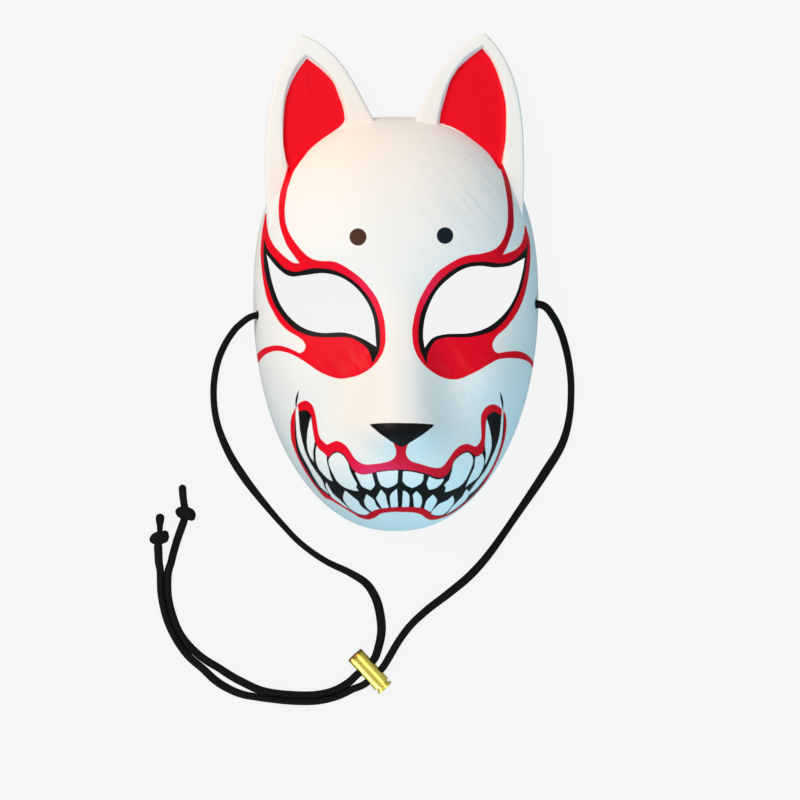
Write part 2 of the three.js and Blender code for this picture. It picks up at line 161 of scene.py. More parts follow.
# Spring toggle
BARREL_DIAMETER = 9.3
BARREL_LENGTH = 21
BARREL_WALL = 0.9
BARREL_END = 1.4
BARREL_ROUND = 0.5
PLUNGER_CLEARANCE = 0.3
PLUNGER_TRAVEL = 1.2
PRESSED_SPRING = 1.8
BUTTON_DIAMETER = 9
BUTTON_THICKNESS = 1.3
BUTTON_ROUND = BUTTON_THICKNESS / 3
CORD_WAY_CLEARANCE = 0.55
CORD_WAY_SPACING = 6.4
FIRST_WAY_AT = 8.6
WAYS_AT = (FIRST_WAY_AT, FIRST_WAY_AT + CORD_WAY_SPACING)
TOGGLE_X = -21.7
TOGGLE_Y = -193.9
TOGGLE_Z = BARREL_DIAMETER / 2
TOGGLE_TURN = math.radians(-47.7)
TOGGLE_START = np.array((TOGGLE_X, TOGGLE_Y, TOGGLE_Z))
TOGGLE_AXIS = np.array((math.cos(TOGGLE_TURN), math.sin(TOGGLE_TURN), 0))
TOGGLE_ASIDE = np.cross(UP, TOGGLE_AXIS)

# The toggle's mesh: sides of its rounds, points of an edge's round and places along the barrel,
# and the small radius with which a profile ends at the axis
ROUND_SIDES = 96
ROUND_POINTS = 6
BARREL_PLACES = 10
AXIS_RADIUS = 0.01
TOGGLE_SHARP_ANGLE = math.radians(35)

# The cords' ways over the floor, from the hole in the mask to the tail's knot
CORD_Z = CORD_DIAMETER / 2
CORD_WAYS = {
    "left": [
        (-68.9, -17.2, 15), (-72.8, -17.3, 15), (-76.2, -18.4, 14.8), (-78.9, -20.1, 12.6),
        (-81.2, -21.9, 8.9), (-83.6, -23.9, 5.3), (-86, -26.9, 2.8), (-88.8, -31.2, CORD_Z),
        (-93, -41, CORD_Z), (-95.2, -55.3, CORD_Z), (-93.7, -71.7, CORD_Z), (-87.8, -87.6, CORD_Z),
        (-79.1, -101.8, CORD_Z), (-68.5, -115.5, CORD_Z), (-59.3, -126.2, CORD_Z),
        (-50, -135.8, CORD_Z), (-36.9, -145.2, CORD_Z), (-24.2, -151.4, CORD_Z),
        (-15.4, -157.2, CORD_Z), (-10.5, -165, CORD_Z), (-8.2, -173.7, CORD_Z), (-7.6, -182, 2.2),
        (-9.1, -189.9, 3.3), (-11.5, -196.3, TOGGLE_Z), (-15.9, -200.3, TOGGLE_Z),
        (-20.3, -204.3, TOGGLE_Z), (-26, -208.9, 3), (-32.8, -212.6, CORD_Z), (-42, -214.6, CORD_Z),
        (-54.4, -214.6, CORD_Z), (-68.5, -212.8, CORD_Z), (-81.6, -207.6, CORD_Z),
        (-92.6, -200.8, CORD_Z), (-103.9, -192.5, CORD_Z), (-112, -183, CORD_Z),
        (-116.1, -173.2, CORD_Z), (-118.4, -163.4, CORD_Z), (-118.5, -152.1, CORD_Z),
        (-116.8, -143.5, CORD_Z), (-114.1, -133.9, 2.3), (-110.7, -124.4, 3.5),
    ],
    "right": [
        (68.9, -11.2, 15), (73, -11.3, 15), (76.4, -12.2, 14.8), (78.9, -14.1, 12.6), (81, -16.4, 8.9),
        (83.3, -19.3, 5.3), (85.4, -23, 2.8), (87.4, -27.9, CORD_Z), (89.9, -37.1, CORD_Z),
        (91.6, -48, CORD_Z), (91.9, -59, CORD_Z), (90.9, -70.9, CORD_Z), (87.2, -84.1, CORD_Z),
        (77.9, -99.6, CORD_Z), (64.2, -119.9, CORD_Z), (48, -142.8, CORD_Z), (38.5, -153.3, CORD_Z),
        (27.8, -162.2, CORD_Z), (15.8, -171.4, CORD_Z), (7.4, -179.3, CORD_Z), (1.3, -187.4, 2.3),
        (-3.4, -195.2, 3.4), (-7.2, -201, TOGGLE_Z), (-11.6, -205, TOGGLE_Z), (-16, -209, TOGGLE_Z),
        (-22.7, -212.9, 3), (-30.6, -216.7, CORD_Z), (-40.5, -219, CORD_Z), (-52, -219.2, CORD_Z),
        (-64.5, -218, CORD_Z), (-78.3, -215.5, CORD_Z), (-90.7, -209.9, CORD_Z),
        (-100.3, -202.3, CORD_Z), (-108.9, -194.9, CORD_Z), (-115.7, -185.4, CORD_Z),
        (-120.5, -174.7, CORD_Z), (-123.1, -162.6, CORD_Z), (-123.5, -151, CORD_Z),
        (-123.8, -143, 2.4), (-124, -137, 3.5),
    ],
}

# The loose braids: widths as shares of the cord's own, evenly along each way, and how much flatter
# a wider stretch is. Where the cords are nearer to each other than CORD_APART, their inner sides
# spread until they meet, at most to CORD_MOST_WIDENED, and their outer sides tighten.
CORD_WIDTHS = {
    "left": [0.86, 0.9, 0.88, 1.07, 0.8, 0.87, 1.18, 1.04, 0.96, 1.08, 0.96, 1, 1.04],
    "right": [1.02, 0.98, 0.92, 1.18, 0.98, 1.12, 1.02, 0.98, 0.92, 1, 1.1, 0.94, 1.12],
}
CORD_FLATTENED = 0.5
CORD_APART = 6.2
CORD_MEETS_OVER = 0.9
CORD_MOST_WIDENED = 1.3
CORD_OUTER_TIGHTENED = {"left": 0.2, "right": 0.33}
CORD_SIDES = 20
CORD_RING_STEP = 1
SPAN_STEPS = 12

# Knots: the size of each kind, its wrap's turns and how deep their ends sink, and its core's share
TAIL_KNOT = {"across": 10.4, "along": 7.4, "tall": 7}
INNER_KNOT = {"across": 9, "along": 7, "tall": 8}
KNOT_TURNS = 1.3
KNOT_STEPS = 72
KNOT_SINK = 0.45
KNOT_SINK_POWER = 4
KNOT_CORE = 0.96
CORE_STEPS = 15
CORE_TURN = math.radians(88)
TIP_SHARE = 0.02

# The short free end past each knot, the knot's slant and the end's widths as for the cords
INNER_END = {"turn": 2, "drop": 2.5, "reach": 3.4, "aside": -3, "fall": 6.5}
INNER_WIDTHS = [1, 1]
INNER_SLANT = 0.2
TAIL_ENDS = {
    "left": [
        (-109.7, -120.1, 3.6), (-110.5, -115.4, 3.1), (-111.2, -110.2, 2.3), (-111.5, -105.1, CORD_Z),
    ],
    "right": [
        (-123.3, -132.9, 3.6), (-123.1, -128.9, 3.1), (-123.1, -124.8, 2.3), (-123, -120.2, CORD_Z),
    ],
}
TAIL_WIDTHS = {"left": [1, 1, 1, 1, 0.95, 1, 1], "right": [1, 1, 1, 1, 0.72, 0.8, 1.15, 1.1]}
TAIL_SLANTS = {"left": 0.45, "right": -0.3}
END_RING_STEP = 0.5

# Painting, drawn on the picture that the camera sees, in its pixels: X to the right, Y down.
# An outline is a row of smooth runs, and each run starts where the one before it ended.
EYE_RED = {
    "left": [
        [(265.8, 213), (263.6, 226), (262, 238), (261, 252), (262, 267), (264, 283), (268, 300), (274, 312),
         (280, 322), (288, 330), (298, 336), (304, 341), (306, 346), (304.5, 351), (300, 353.5),
         (296, 352), (287, 348), (278, 346), (269, 347), (262, 350), (256, 356), (250, 363)],
        [(251, 371)],
        [(258, 362), (264, 355), (272, 351), (280, 350.5), (290, 353), (300, 358), (312, 366),
         (322, 372.5), (338, 378), (350, 377), (360, 374), (370, 368), (377, 361), (382, 353),
         (384.5, 345), (385, 335), (384, 322), (381, 310), (376, 298), (369, 288), (361, 279),
         (352, 272), (343, 266), (333, 262), (320, 261.5), (310, 259)],
        [(300, 263.5)],
        [(294, 263.5), (288, 260), (280, 253), (273, 245), (268.3, 235), (266.3, 224)],
    ],
    "right": [
        [(525, 225), (529, 240), (530, 255), (529, 270), (527, 282), (524, 295), (519, 308),
         (513, 318), (505, 328), (497, 335), (493, 341), (492, 346), (494, 351), (498, 353.5),
         (505, 352.5), (515, 351.5), (523, 353), (530, 358), (535, 366), (541, 375)],
        [(540, 381)],
        [(535.5, 373), (531, 364), (526, 360), (518, 358), (508, 357.5), (498, 359), (490, 363),
         (480, 369), (470, 374), (462, 377.5), (453, 379), (443, 377), (435, 373), (427, 367),
         (420, 359), (415, 349), (413, 338), (413, 327), (416, 312), (420, 300), (427, 287),
         (434, 277), (441, 270), (450, 264), (460, 258.5), (470, 255.5), (480, 254.5), (490, 252)],
        [(502, 255.5)],
        [(508, 253.5), (516, 250), (522, 243), (525, 232)],
    ],
}
EYE_BLACK = {
    "left": [
        [(264, 238), (266, 246), (270, 253), (277, 261), (284, 268), (290, 271), (297, 272),
         (305, 270), (312, 268.5), (322, 268.5), (332, 270), (342, 274), (352, 280), (361, 288),
         (369, 298), (375, 310), (379, 325), (380, 340), (379, 350), (376, 357), (372, 363)],
        [(371, 356), (367, 348), (358, 341), (348, 337), (335, 337), (322, 337), (310, 335.5),
         (300, 332), (290, 325), (280, 313), (274, 303), (269, 288), (265, 272), (263.5, 255)],
    ],
    "right": [
        [(528, 243), (524, 251), (517, 258), (510, 262), (500, 263.5), (490, 262.5), (480, 262),
         (470, 263), (460, 266), (450, 272), (441, 280), (433, 290), (426, 302), (421, 314),
         (419, 325), (418.5, 338), (420, 348), (423, 356), (427, 364)],
        [(427, 356), (430, 348), (435, 341), (442, 338), (450, 337), (465, 337), (475, 336),
         (490, 332), (500, 325), (507, 317), (513, 307), (518, 297), (522, 285), (525, 272),
         (527, 255)],
    ],
}
BROW_LINE = {
    "left": [
        [(288, 167), (285, 178), (281, 190), (279, 203), (279, 214), (280, 225), (283, 235),
         (287, 245), (293, 254), (301, 264.5)],
        [(322, 263.5)],
        [(311, 258.6), (303, 252.3), (296, 244), (290, 235), (286, 225), (284.5, 214), (285, 203), (287, 190),
         (291, 178), (294, 169)],
    ],
    "right": [
        [(502, 163), (507, 175), (511, 190), (513, 207), (513.5, 225), (511, 235), (507, 246),
         (501, 258)],
        [(484, 257)],
        [(489, 252.4), (496.7, 248), (503, 240), (507.5, 225), (508, 207), (506, 190), (503, 176),
         (499.5, 165)],
    ],
}
EAR_RED = {
    "left": [
        [(307, 59), (320, 69), (330, 79), (334, 85), (338, 95), (342, 106), (344, 116), (344, 123)],
        [(334, 130.5), (321, 139.3), (310, 148.5), (300, 161), (292, 173)],
        [(287, 161), (285, 152), (283.5, 140), (284.5, 115), (286, 101), (288, 93), (293, 80),
         (300, 68)],
    ],
    "right": [
        [(482, 49), (490, 59), (496, 71), (500, 83), (504, 97), (505.5, 110), (505.5, 127),
         (505, 140), (503, 152), (500, 170)],
        [(490, 154.5), (480, 145), (470, 137.3), (460, 130.6), (450, 125.7), (440, 123)],
        [(441, 115), (444, 103), (447, 93), (450, 83), (455, 74), (460, 67), (470, 58)],
    ],
}
BROW_DOTS = {"left": (358, 237, 8), "right": (445, 235.5, 7.7)}
NOSE_BLACK = [
    [(370, 424.5), (385, 423.6), (400, 423.5), (420, 424), (434, 425)],
    [(424, 433), (410, 442), (402, 446), (393, 442), (380, 433)],
]
LIPS_RED = [
    [(298, 405), (302, 402), (307, 401.5), (312, 406), (315, 415), (317, 428), (319, 437),
     (323, 442), (327, 445), (332, 443), (337, 441.5), (343, 444), (348, 449), (353, 457),
     (358, 462), (365, 465), (375, 464.5), (385, 463), (392, 460.5), (396, 456), (396.5, 450),
     (393, 441)],
    [(409, 441)],
    [(406, 448), (405.5, 454), (408, 459), (412, 462), (420, 464.5), (430, 467.5), (438, 468.5),
     (444, 466), (450, 458), (455, 451), (461, 446), (467, 444.5), (472, 446), (476, 447),
     (480, 443), (482, 436), (481.5, 425), (482, 415), (486, 408), (492, 405), (497, 406),
     (502, 410)],
    [(505, 415), (506, 425), (504, 440), (498, 458), (490, 474), (478, 492), (465, 504),
     (452, 513), (440, 518), (432, 519.5), (427, 518), (421, 514), (414, 512), (402, 511.5),
     (392, 511.5), (381, 513), (375, 517), (368, 519), (360, 517), (350, 511), (340, 505),
     (331, 499.5), (325, 497), (318, 489), (310, 478), (302, 465), (296, 452), (292, 440),
     (291, 427), (292, 417), (295, 410)],
]
MOUTH_BLACK = [
    [(297, 412), (304, 410), (309, 412), (312, 418), (313, 430), (315, 441), (319, 449),
     (324, 453), (328, 457.5)],
    [(331, 454.5), (335, 451.5), (340, 452), (345, 456), (349, 463), (352, 468), (356, 472),
     (362, 474), (372, 473), (380, 471), (392, 470), (402, 469.5), (412, 470.5), (422, 472.5),
     (430, 475), (438, 477.5), (444, 476.5), (449, 472), (452, 465), (456, 458), (462, 453),
     (468, 451), (473, 454), (477, 456), (482, 453), (484, 448), (485, 438), (485.5, 425),
     (487, 417), (491, 413), (495, 412), (501, 415)],
    [(503.5, 413)],
    [(504.4, 425), (502.5, 440), (496.8, 458), (489, 473), (477.3, 491), (464.5, 503),
     (452, 512), (443, 515.5), (435, 516), (431, 514)],
    [(428, 511), (422, 508), (412, 507), (402, 507), (392, 507.5), (382, 508.5), (375, 510),
     (370, 513)],
    [(365, 515.5), (358, 514.5), (350, 509.8), (341, 504), (333, 498.5), (326, 493.5),
     (318.3, 488), (310.5, 477.3), (302.6, 463.8), (297, 451.5), (295.2, 440), (294.8, 427),
     (295.2, 418)],
]

# Teeth and the long white bands at the mouth's sides. Neighbours are in different rows, so that
# the thin black gap between two of them is where two fields cross.
TEETH_ROWS = {
    "teeth_first": [
        [[(311, 416), (312.5, 428), (314.8, 441)], [(313.2, 452), (314, 462.5)],
         [(309.5, 455), (307, 445), (307.5, 432), (309, 424)]],
        [[(328.5, 460), (331, 456), (337, 452.5), (343, 455.5), (348, 463), (349.5, 469)],
         [(352.5, 476), (357, 484)], [(356, 487.5)], [(359.5, 491.5)],
         [(352, 490), (344, 487), (337, 481), (332, 472), (329, 465)]],
        [[(376.5, 472.5), (387, 471), (398, 470.5)], [(397.5, 483)], [(393, 486), (387, 488)],
         [(381, 485), (378, 479)]],
        [[(429, 476.5), (437, 479.5), (444.5, 478.5)], [(441, 484), (436, 488), (429, 490)],
         [(426.5, 484)]],
        [[(475.5, 456.5), (478, 456.5), (482, 453.5)], [(484, 459), (483, 467.5), (478, 477),
         (472, 482), (465.5, 487)], [(469.5, 478), (474.5, 467)]],
    ],
    "teeth_second": [
        [[(316.5, 445), (321, 450), (326.5, 455.5)], [(327, 462), (329, 470), (331, 477),
         (333, 482)], [(327, 478), (320.5, 471), (316.5, 463), (315.5, 452)]],
        [[(354.5, 471.5), (362, 474.5), (372, 473.5)], [(374, 481), (375, 485)],
         [(372, 489), (370, 490)], [(363, 487), (360, 483), (357, 477)]],
        [[(403, 471), (413, 472), (423.5, 474.5)], [(423, 480), (421, 483.5)],
         [(416, 486.5), (412, 488)], [(406, 485), (402.5, 481)]],
        [[(452, 471), (453.5, 463), (459, 456.5), (467, 452.5), (472, 456), (473, 462),
          (470, 471), (465.5, 480), (460, 486), (452, 490), (444.5, 492.5)],
         [(446, 488)], [(444, 485)], [(449, 480)]],
        [[(486.5, 418), (489.5, 428), (491.5, 440), (491, 450), (487.5, 460), (484.5, 465.5)],
         [(486, 455), (485, 445), (485.7, 430)]],
    ],
    "teeth_third": [
        [[(397, 488.5), (391, 494), (390, 499), (391, 507.5)], [(398, 507)]],
        [[(366.5, 494), (374, 500), (376, 505), (380, 509)], [(373, 512), (366, 506.5),
         (364, 501)]],
        [[(326.5, 482), (328.5, 486), (333, 493.5), (341, 501), (350, 509.5), (357.5, 514.3)],
         [(345, 508), (335, 501), (328, 491.5), (325.5, 485)]],
        [[(416.5, 491), (421, 496), (422, 502), (420, 508)], [(414, 507.5)],
         [(413.5, 500), (412.5, 495)]],
        [[(453, 495.5), (454, 502), (449.5, 509), (443, 514.5), (435.5, 515.5)],
         [(431, 513), (437, 506), (440, 503.5)], [(448, 500)]],
    ],
    "teeth_fourth": [
        [[(381, 489.5), (385.5, 495), (386.5, 500), (389, 508)], [(382, 508.5)],
         [(378, 502), (376, 498)]],
        [[(345, 490.5), (350, 494.5), (358, 501)], [(362, 507), (370, 512.5)],
         [(365, 515), (357, 513), (350, 508.5), (344, 501), (343, 496.5)]],
        [[(403, 490), (408.5, 494), (409.5, 500), (409, 507)], [(402, 507.5)]],
        [[(433, 494.5), (437, 500), (434.5, 506), (430.5, 512)], [(424, 508.5)],
         [(426, 502), (428, 499)]],
        [[(466.5, 489), (469, 492.5), (467.5, 497.5), (461.5, 504), (453.5, 510), (446, 514.5)],
         [(455, 504), (462, 497)]],
    ],
    "side_bands": [
        [[(296.7, 403), (295.7, 412), (296, 425), (297.2, 440), (300, 450.5), (304.5, 460),
          (309.5, 469), (315, 479), (321, 487.5), (330, 495.5)],
         [(325, 488), (322, 480), (315, 470), (309, 460), (305, 451), (302, 440), (300, 430),
          (299, 420), (298.3, 410)]],
        [[(503.3, 407), (503.2, 420), (502.7, 430), (501.5, 440), (499, 450), (495.3, 460),
          (490.3, 470), (483.5, 480), (475.5, 489.5), (467, 496)],
         [(470.5, 490), (478, 480), (485.5, 470), (490.5, 460), (495, 450), (498.5, 440),
          (500.3, 430), (501.2, 420), (502, 410)]],
    ],
}

# The fine dark slits over the mouth's corners, and their greatest half width
SLITS = {
    "left": [(298.7, 390), (297.3, 396), (296.2, 402), (296.2, 409)],
    "right": [(500, 392), (501.3, 397), (502.4, 403), (503.2, 411)],
}
SLIT_HALF_WIDTH = 1.1

# Lowest height of the lips' paint on the steep wall, in millimetres
LIPS_LOWEST = 14

# How far a field is worked out beyond its outline, how many corners are worked out at a time,
# the least squared length of a side, and the steps of the curves
FIELD_REACH = 12
FIELD_BATCH = 4000
LEAST_LENGTH = 1e-9
OUTLINE_STEPS = 5


def unit(vector):
    """A vector, or each row of many, divided by its length."""
    return vector / np.linalg.norm(vector, axis=-1, keepdims=True)


VIEW_AXIS = unit(CAMERA_AIM - CAMERA_EYE)
VIEW_RIGHT = unit(np.cross(VIEW_AXIS, (0, 1, 0)))
VIEW_UP = np.cross(VIEW_RIGHT, VIEW_AXIS)
AIM_DISTANCE = np.linalg.norm(CAMERA_AIM - CAMERA_EYE)


def picture_places(points):
    """Where the camera sees points, in pixels: their sideways and upward distances from its
    axis, divided by their depth and scaled so that a pixel at the aim has its real size."""
    offset = points - CAMERA_EYE
    scale = AIM_DISTANCE / (PIXEL_AT_AIM * (offset @ VIEW_AXIS))
    across = PICTURE_SIDE / 2 + (offset @ VIEW_RIGHT) * scale
    down = PICTURE_SIDE / 2 - (offset @ VIEW_UP) * scale
    return np.stack([across, down], -1)


def add_camera():
    """The camera at its eye, turned to its aim, with the lens that gives the picture's scale."""
    data = bpy.data.cameras.new("camera")
    data.sensor_width = SENSOR_SIDE
    data.lens = SENSOR_SIDE * AIM_DISTANCE / (PICTURE_SIDE * PIXEL_AT_AIM)
    data.clip_end = CAMERA_REACH * MM
    camera = bpy.data.objects.new("camera", data)
    place = np.eye(4)
    place[:3] = np.stack([VIEW_RIGHT, VIEW_UP, -VIEW_AXIS, CAMERA_EYE * MM], -1)
    camera.matrix_world = Matrix(place.tolist())
    bpy.context.scene.collection.objects.link(camera)
    bpy.context.scene.camera = camera


def carried_on(points):
    """Points with one more before them and one after, straight on by the nearest step."""
    return np.concatenate([2 * points[:1] - points[1:2], points, 2 * points[-1:] - points[-2:-1]])


def catmull_rom(points, steps):
    """A smooth line through points: in each span the uniform Catmull-Rom cubic
    (2b + (c - a)t + (2a - 5b + 4c - d)t^2 + (3b - a - 3c + d)t^3) / 2."""
    points = np.array(points, float)
    padded = carried_on(points)
    a, b, c, d = (padded[k:len(padded) - 3 + k, None] for k in range(4))
    t = (np.arange(steps) / steps)[None, :, None]
    spans = (2 * b + (c - a) * t + (2 * a - 5 * b + 4 * c - d) * t**2
             + (3 * b - a - 3 * c + d) * t**3) / 2
    return np.concatenate([spans.reshape(-1, points.shape[1]), points[-1:]])


def centripetal(points, steps):
    """A smooth way through points, whose knots are apart by the root of each span's length:
    in each span a cubic with its ends' tangents."""
    points = np.array(points, float)
    padded = carried_on(points)
    gaps = np.sqrt(np.linalg.norm(np.diff(padded, axis=0), axis=1))[:, None]
    before, here, after = gaps[:-2], gaps[1:-1], gaps[2:]
    a, b, c, d = (padded[k:len(padded) - 3 + k] for k in range(4))
    start = ((b - a) / before - (c - a) / (before + here) + (c - b) / here) * here
    end = ((c - b) / here - (d - b) / (here + after) + (d - c) / after) * here
    t = (np.arange(steps) / steps)[None, :, None]
    b, c, start, end = (value[:, None] for value in (b, c, start, end))
    spans = (b + start * t + (3 * (c - b) - 2 * start - end) * t**2
             + (2 * (b - c) + start + end) * t**3)
    return np.concatenate([spans.reshape(-1, 3), points[-1:]])


def ways_along(line):
    """The way from a line's start to each of its points."""
    return np.concatenate([[0], np.cumsum(np.linalg.norm(np.diff(line, axis=0), axis=1))])


def evenly(line, step):
    """A line's points at equal distances along it, near the given step."""
    ways = ways_along(line)
    places = np.linspace(0, ways[-1], max(2, round(ways[-1] / step) + 1))
    return np.stack([np.interp(places, ways, line[:, axis]) for axis in range(line.shape[1])], -1)


def spread_evenly(values, count):
    """Values that lie evenly along something, read at a number of even places."""
    return np.interp(np.linspace(0, 1, count), np.linspace(0, 1, len(values)), values)


def shares_to(last, steps):
    """Even shares up to the last one, without the 0 before them."""
    return np.linspace(0, last, steps + 1)[1:]


def bezier(points, steps):
    """A cubic Bezier curve from its four points."""
    a, b, c, d = (np.array(point, float) for point in points)
    t = np.linspace(0, 1, steps + 1)[:, None]
    return a * (1 - t)**3 + 3 * b * t * (1 - t)**2 + 3 * c * t**2 * (1 - t) + d * t**3


def link(name, mesh, materials):
    """An object for a mesh, in the scene, with its materials."""
    piece = bpy.data.objects.new(name, mesh)
    for material in materials:
        mesh.materials.append(material)
    bpy.context.scene.collection.objects.link(piece)
    return piece


def closed_skin(name, rings, materials, ways=None):
    """A closed mesh over rings of equally many points, in millimetres: quads from ring to ring,
    and at each end a fan to the ring's mean. Where the rings' ways are given, a UV map holds
    the way along and the turn round each ring."""
    count, sides = rings.shape[:2]
    corners = np.concatenate([rings.reshape(-1, 3), rings[:1].mean(1), rings[-1:].mean(1)])
    here = np.arange(sides)
    after = (here + 1) % sides
    low = (np.arange(count - 1) * sides)[:, None]
    quads = np.stack([low + here, low + after, low + sides + after, low + sides + here], -1)
    top = (count - 1) * sides
    first = np.full(sides, count * sides)
    fans = [np.stack([after, here, first], -1), np.stack([top + here, top + after, first + 1], -1)]
    mesh = bpy.data.meshes.new(name)
    faces = quads.reshape(-1, 4).tolist() + fans[0].tolist() + fans[1].tolist()
    mesh.from_pydata((corners * MM).tolist(), [], faces)
    if ways is not None:
        turn = here / sides
        next_turn = (here + 1) / sides
        along, on = (np.repeat(part[:, None], sides, 1) for part in (ways[:-1], ways[1:]))
        turns = np.broadcast_to(turn, along.shape)
        next_turns = np.broadcast_to(next_turn, along.shape)
        body = np.stack([along, turns, along, next_turns, on, next_turns, on, turns], -1)
        low_way, high_way = np.full(sides, ways[0]), np.full(sides, ways[-1])
        low_fan = np.stack([low_way, next_turn, low_way, turn, low_way, turn], -1)
        high_fan = np.stack([high_way, turn, high_way, next_turn, high_way, turn], -1)
        layer = mesh.uv_layers.new(name="lay")
        layer.data.foreach_set("uv", np.concatenate([body.ravel(), low_fan.ravel(), high_fan.ravel()]))
    point_outwards(mesh)
    mesh.shade_smooth()
    return link(name, mesh, materials)


def point_outwards(mesh):
    """Turns a closed mesh's faces so that they point out."""
    work = bmesh.new()
    work.from_mesh(mesh)
    bmesh.ops.recalc_face_normals(work, faces=work.faces)
    work.to_mesh(mesh)
    work.free()


def carve(piece, joined=(), cut=()):
    """Joins some tools to a piece and cuts others out of it, and removes the tools."""
    for tool, operation in [(t, "UNION") for t in joined] + [(t, "DIFFERENCE") for t in cut]:
        step = piece.modifiers.new(tool.name, "BOOLEAN")
        step.operation = operation
        step.solver = "MANIFOLD"
        step.material_mode = "TRANSFER"
        step.object = tool
    view = bpy.context.evaluated_depsgraph_get()
    mesh = bpy.data.meshes.new_from_object(piece.evaluated_get(view))
    piece.modifiers.clear()
    old = piece.data
    mesh.name = old.name
    piece.data = mesh
    bpy.data.meshes.remove(old)
    for tool in (*joined, *cut):
        bpy.data.objects.remove(tool)
    return piece


def spread_at(x, y, inset):
    """How far out a place lies, 0 at the middle of the face and 1 on its outline: the powers of
    its shares of the half width and of the reach, summed, and raised a little more at the jaw."""
    up = y - FACE_WIDEST_Y
    above = up > 0
    tall = np.abs(up) / (np.where(above, FACE_TOP_REACH, FACE_CHIN_REACH) - inset)
    below = np.where(above, 0, tall)
    wide = (FACE_HALF_WIDTH - inset) * (1 - CHIN_TAPER * below**CHIN_TAPER_POWER)
    spread = np.abs(x / wide)**SIDE_POWER + tall**np.where(above, TOP_POWER, CHIN_POWER)
    return np.minimum(spread, 1)**(1 + JAW_FULLNESS * np.minimum(below, 1))


def hill_at(x, y, hill, middle):
    """Height of a hill: its rise times the bell exp(-across^2 - along^2)."""
    return hill["rise"] * np.exp(-((x - middle) / hill["wide"])**2 - ((y - hill["y"]) / hill["tall"])**2)


def height_at(x, y, inset):
    """Height of the face over its rim: the dome depth sqrt(1 - spread), and over it the nose,
    the muzzle and the paired hills, faded by 1 - spread^6 towards the rim."""
    spread = spread_at(x, y, inset)
    along = np.abs(y - NOSE_Y) / np.where(y > NOSE_Y, NOSE_BRIDGE, NOSE_UNDERSIDE)
    wide = NOSE_BROW_WIDE + (NOSE_WIDE - NOSE_BROW_WIDE) * np.exp(-along**2)
    relief = NOSE_RISE * np.exp(-np.abs(x / wide)**NOSE_POWER - along**NOSE_POWER)
    relief += hill_at(x, y, MUZZLE, MUZZLE["x"])
    for hill in PAIRED_HILLS.values():
        relief += hill_at(x, y, hill, hill["x"]) + hill_at(x, y, hill, -hill["x"])
    return (FACE_DEPTH - inset) * np.sqrt(1 - spread) + (1 - spread**RELIEF_FADE) * relief


def outline_at(angle, inset):
    """The face's outline: a superellipse in each half, with the same powers as the spread."""
    right, up = np.cos(angle), np.sin(angle)
    above = up > 0
    tall = np.abs(up)**(2 / np.where(above, TOP_POWER, CHIN_POWER))
    below = np.where(above, 0, tall)
    wide = (FACE_HALF_WIDTH - inset) * (1 - CHIN_TAPER * below**CHIN_TAPER_POWER)
    reach = np.where(above, FACE_TOP_REACH, FACE_CHIN_REACH) - inset
    x = wide * np.sign(right) * np.abs(right)**(2 / SIDE_POWER)
    return x, FACE_WIDEST_Y + reach * np.sign(up) * tall


def shares_inwards(steep_steps, fine_steps, steps):
    """Shares from 1 at the rim to nearly 0: cosines down to STEEP_SHARE, then even steps down to
    FINE_SHARE, and wider even steps from there."""
    steep = np.cos(np.linspace(0, math.acos(STEEP_SHARE), steep_steps, endpoint=False))
    fine = np.linspace(STEEP_SHARE, FINE_SHARE, fine_steps, endpoint=False)
    return np.concatenate([steep, fine, np.linspace(FINE_SHARE, 0, steps, endpoint=False)])


def turns_round(fine_steps, steps):
    """Angles once round, closer together from MOUTH_FROM to MOUTH_TO."""
    fine = np.linspace(MOUTH_FROM, MOUTH_TO, fine_steps, endpoint=False)
    rest = np.linspace(MOUTH_TO, MOUTH_FROM + 360, steps, endpoint=False)
    return np.radians(np.concatenate([fine, rest]))


def face_solid(name, inset, rings, turns, foot, materials):
    """The solid under the face: its outline drawn in by shares from the rim to the middle, raised
    to the face's height, with its rim at 0. A foot below the rim is for cutting with."""
    rim_x, rim_y = outline_at(turns_round(*turns), inset)
    outs = shares_inwards(*rings)[:, None]
    x = outs * rim_x
    y = FACE_WIDEST_Y + outs * (rim_y - FACE_WIDEST_Y)
    z = height_at(x, y, inset)
    z[0] = 0
    skin = np.stack([x, y, z], -1)
    if foot:
        skin = np.concatenate([skin[:1] - UP * foot, skin])
    return closed_skin(name, skin, materials)


def ear_rim_at(y):
    """Height of an ear's rim, which leans back towards its tip."""
    return EAR_RIM_Z - EAR_LEAN * (y - EAR_ROOT_Y)


def leaf_line(outer, inner):
    """A leaf's edge once round: up its outer edge, down its inner edge and back along its base."""
    up = bezier(outer, EAR_STEPS)
    down = bezier(inner, EAR_STEPS)[::-1]
    share = np.linspace(0, 1, EAR_BASE_STEPS + 1)[1:-1, None]
    base = down[-1] + share * (up[0] - down[-1])
    return np.concatenate([up, down[1:], base])


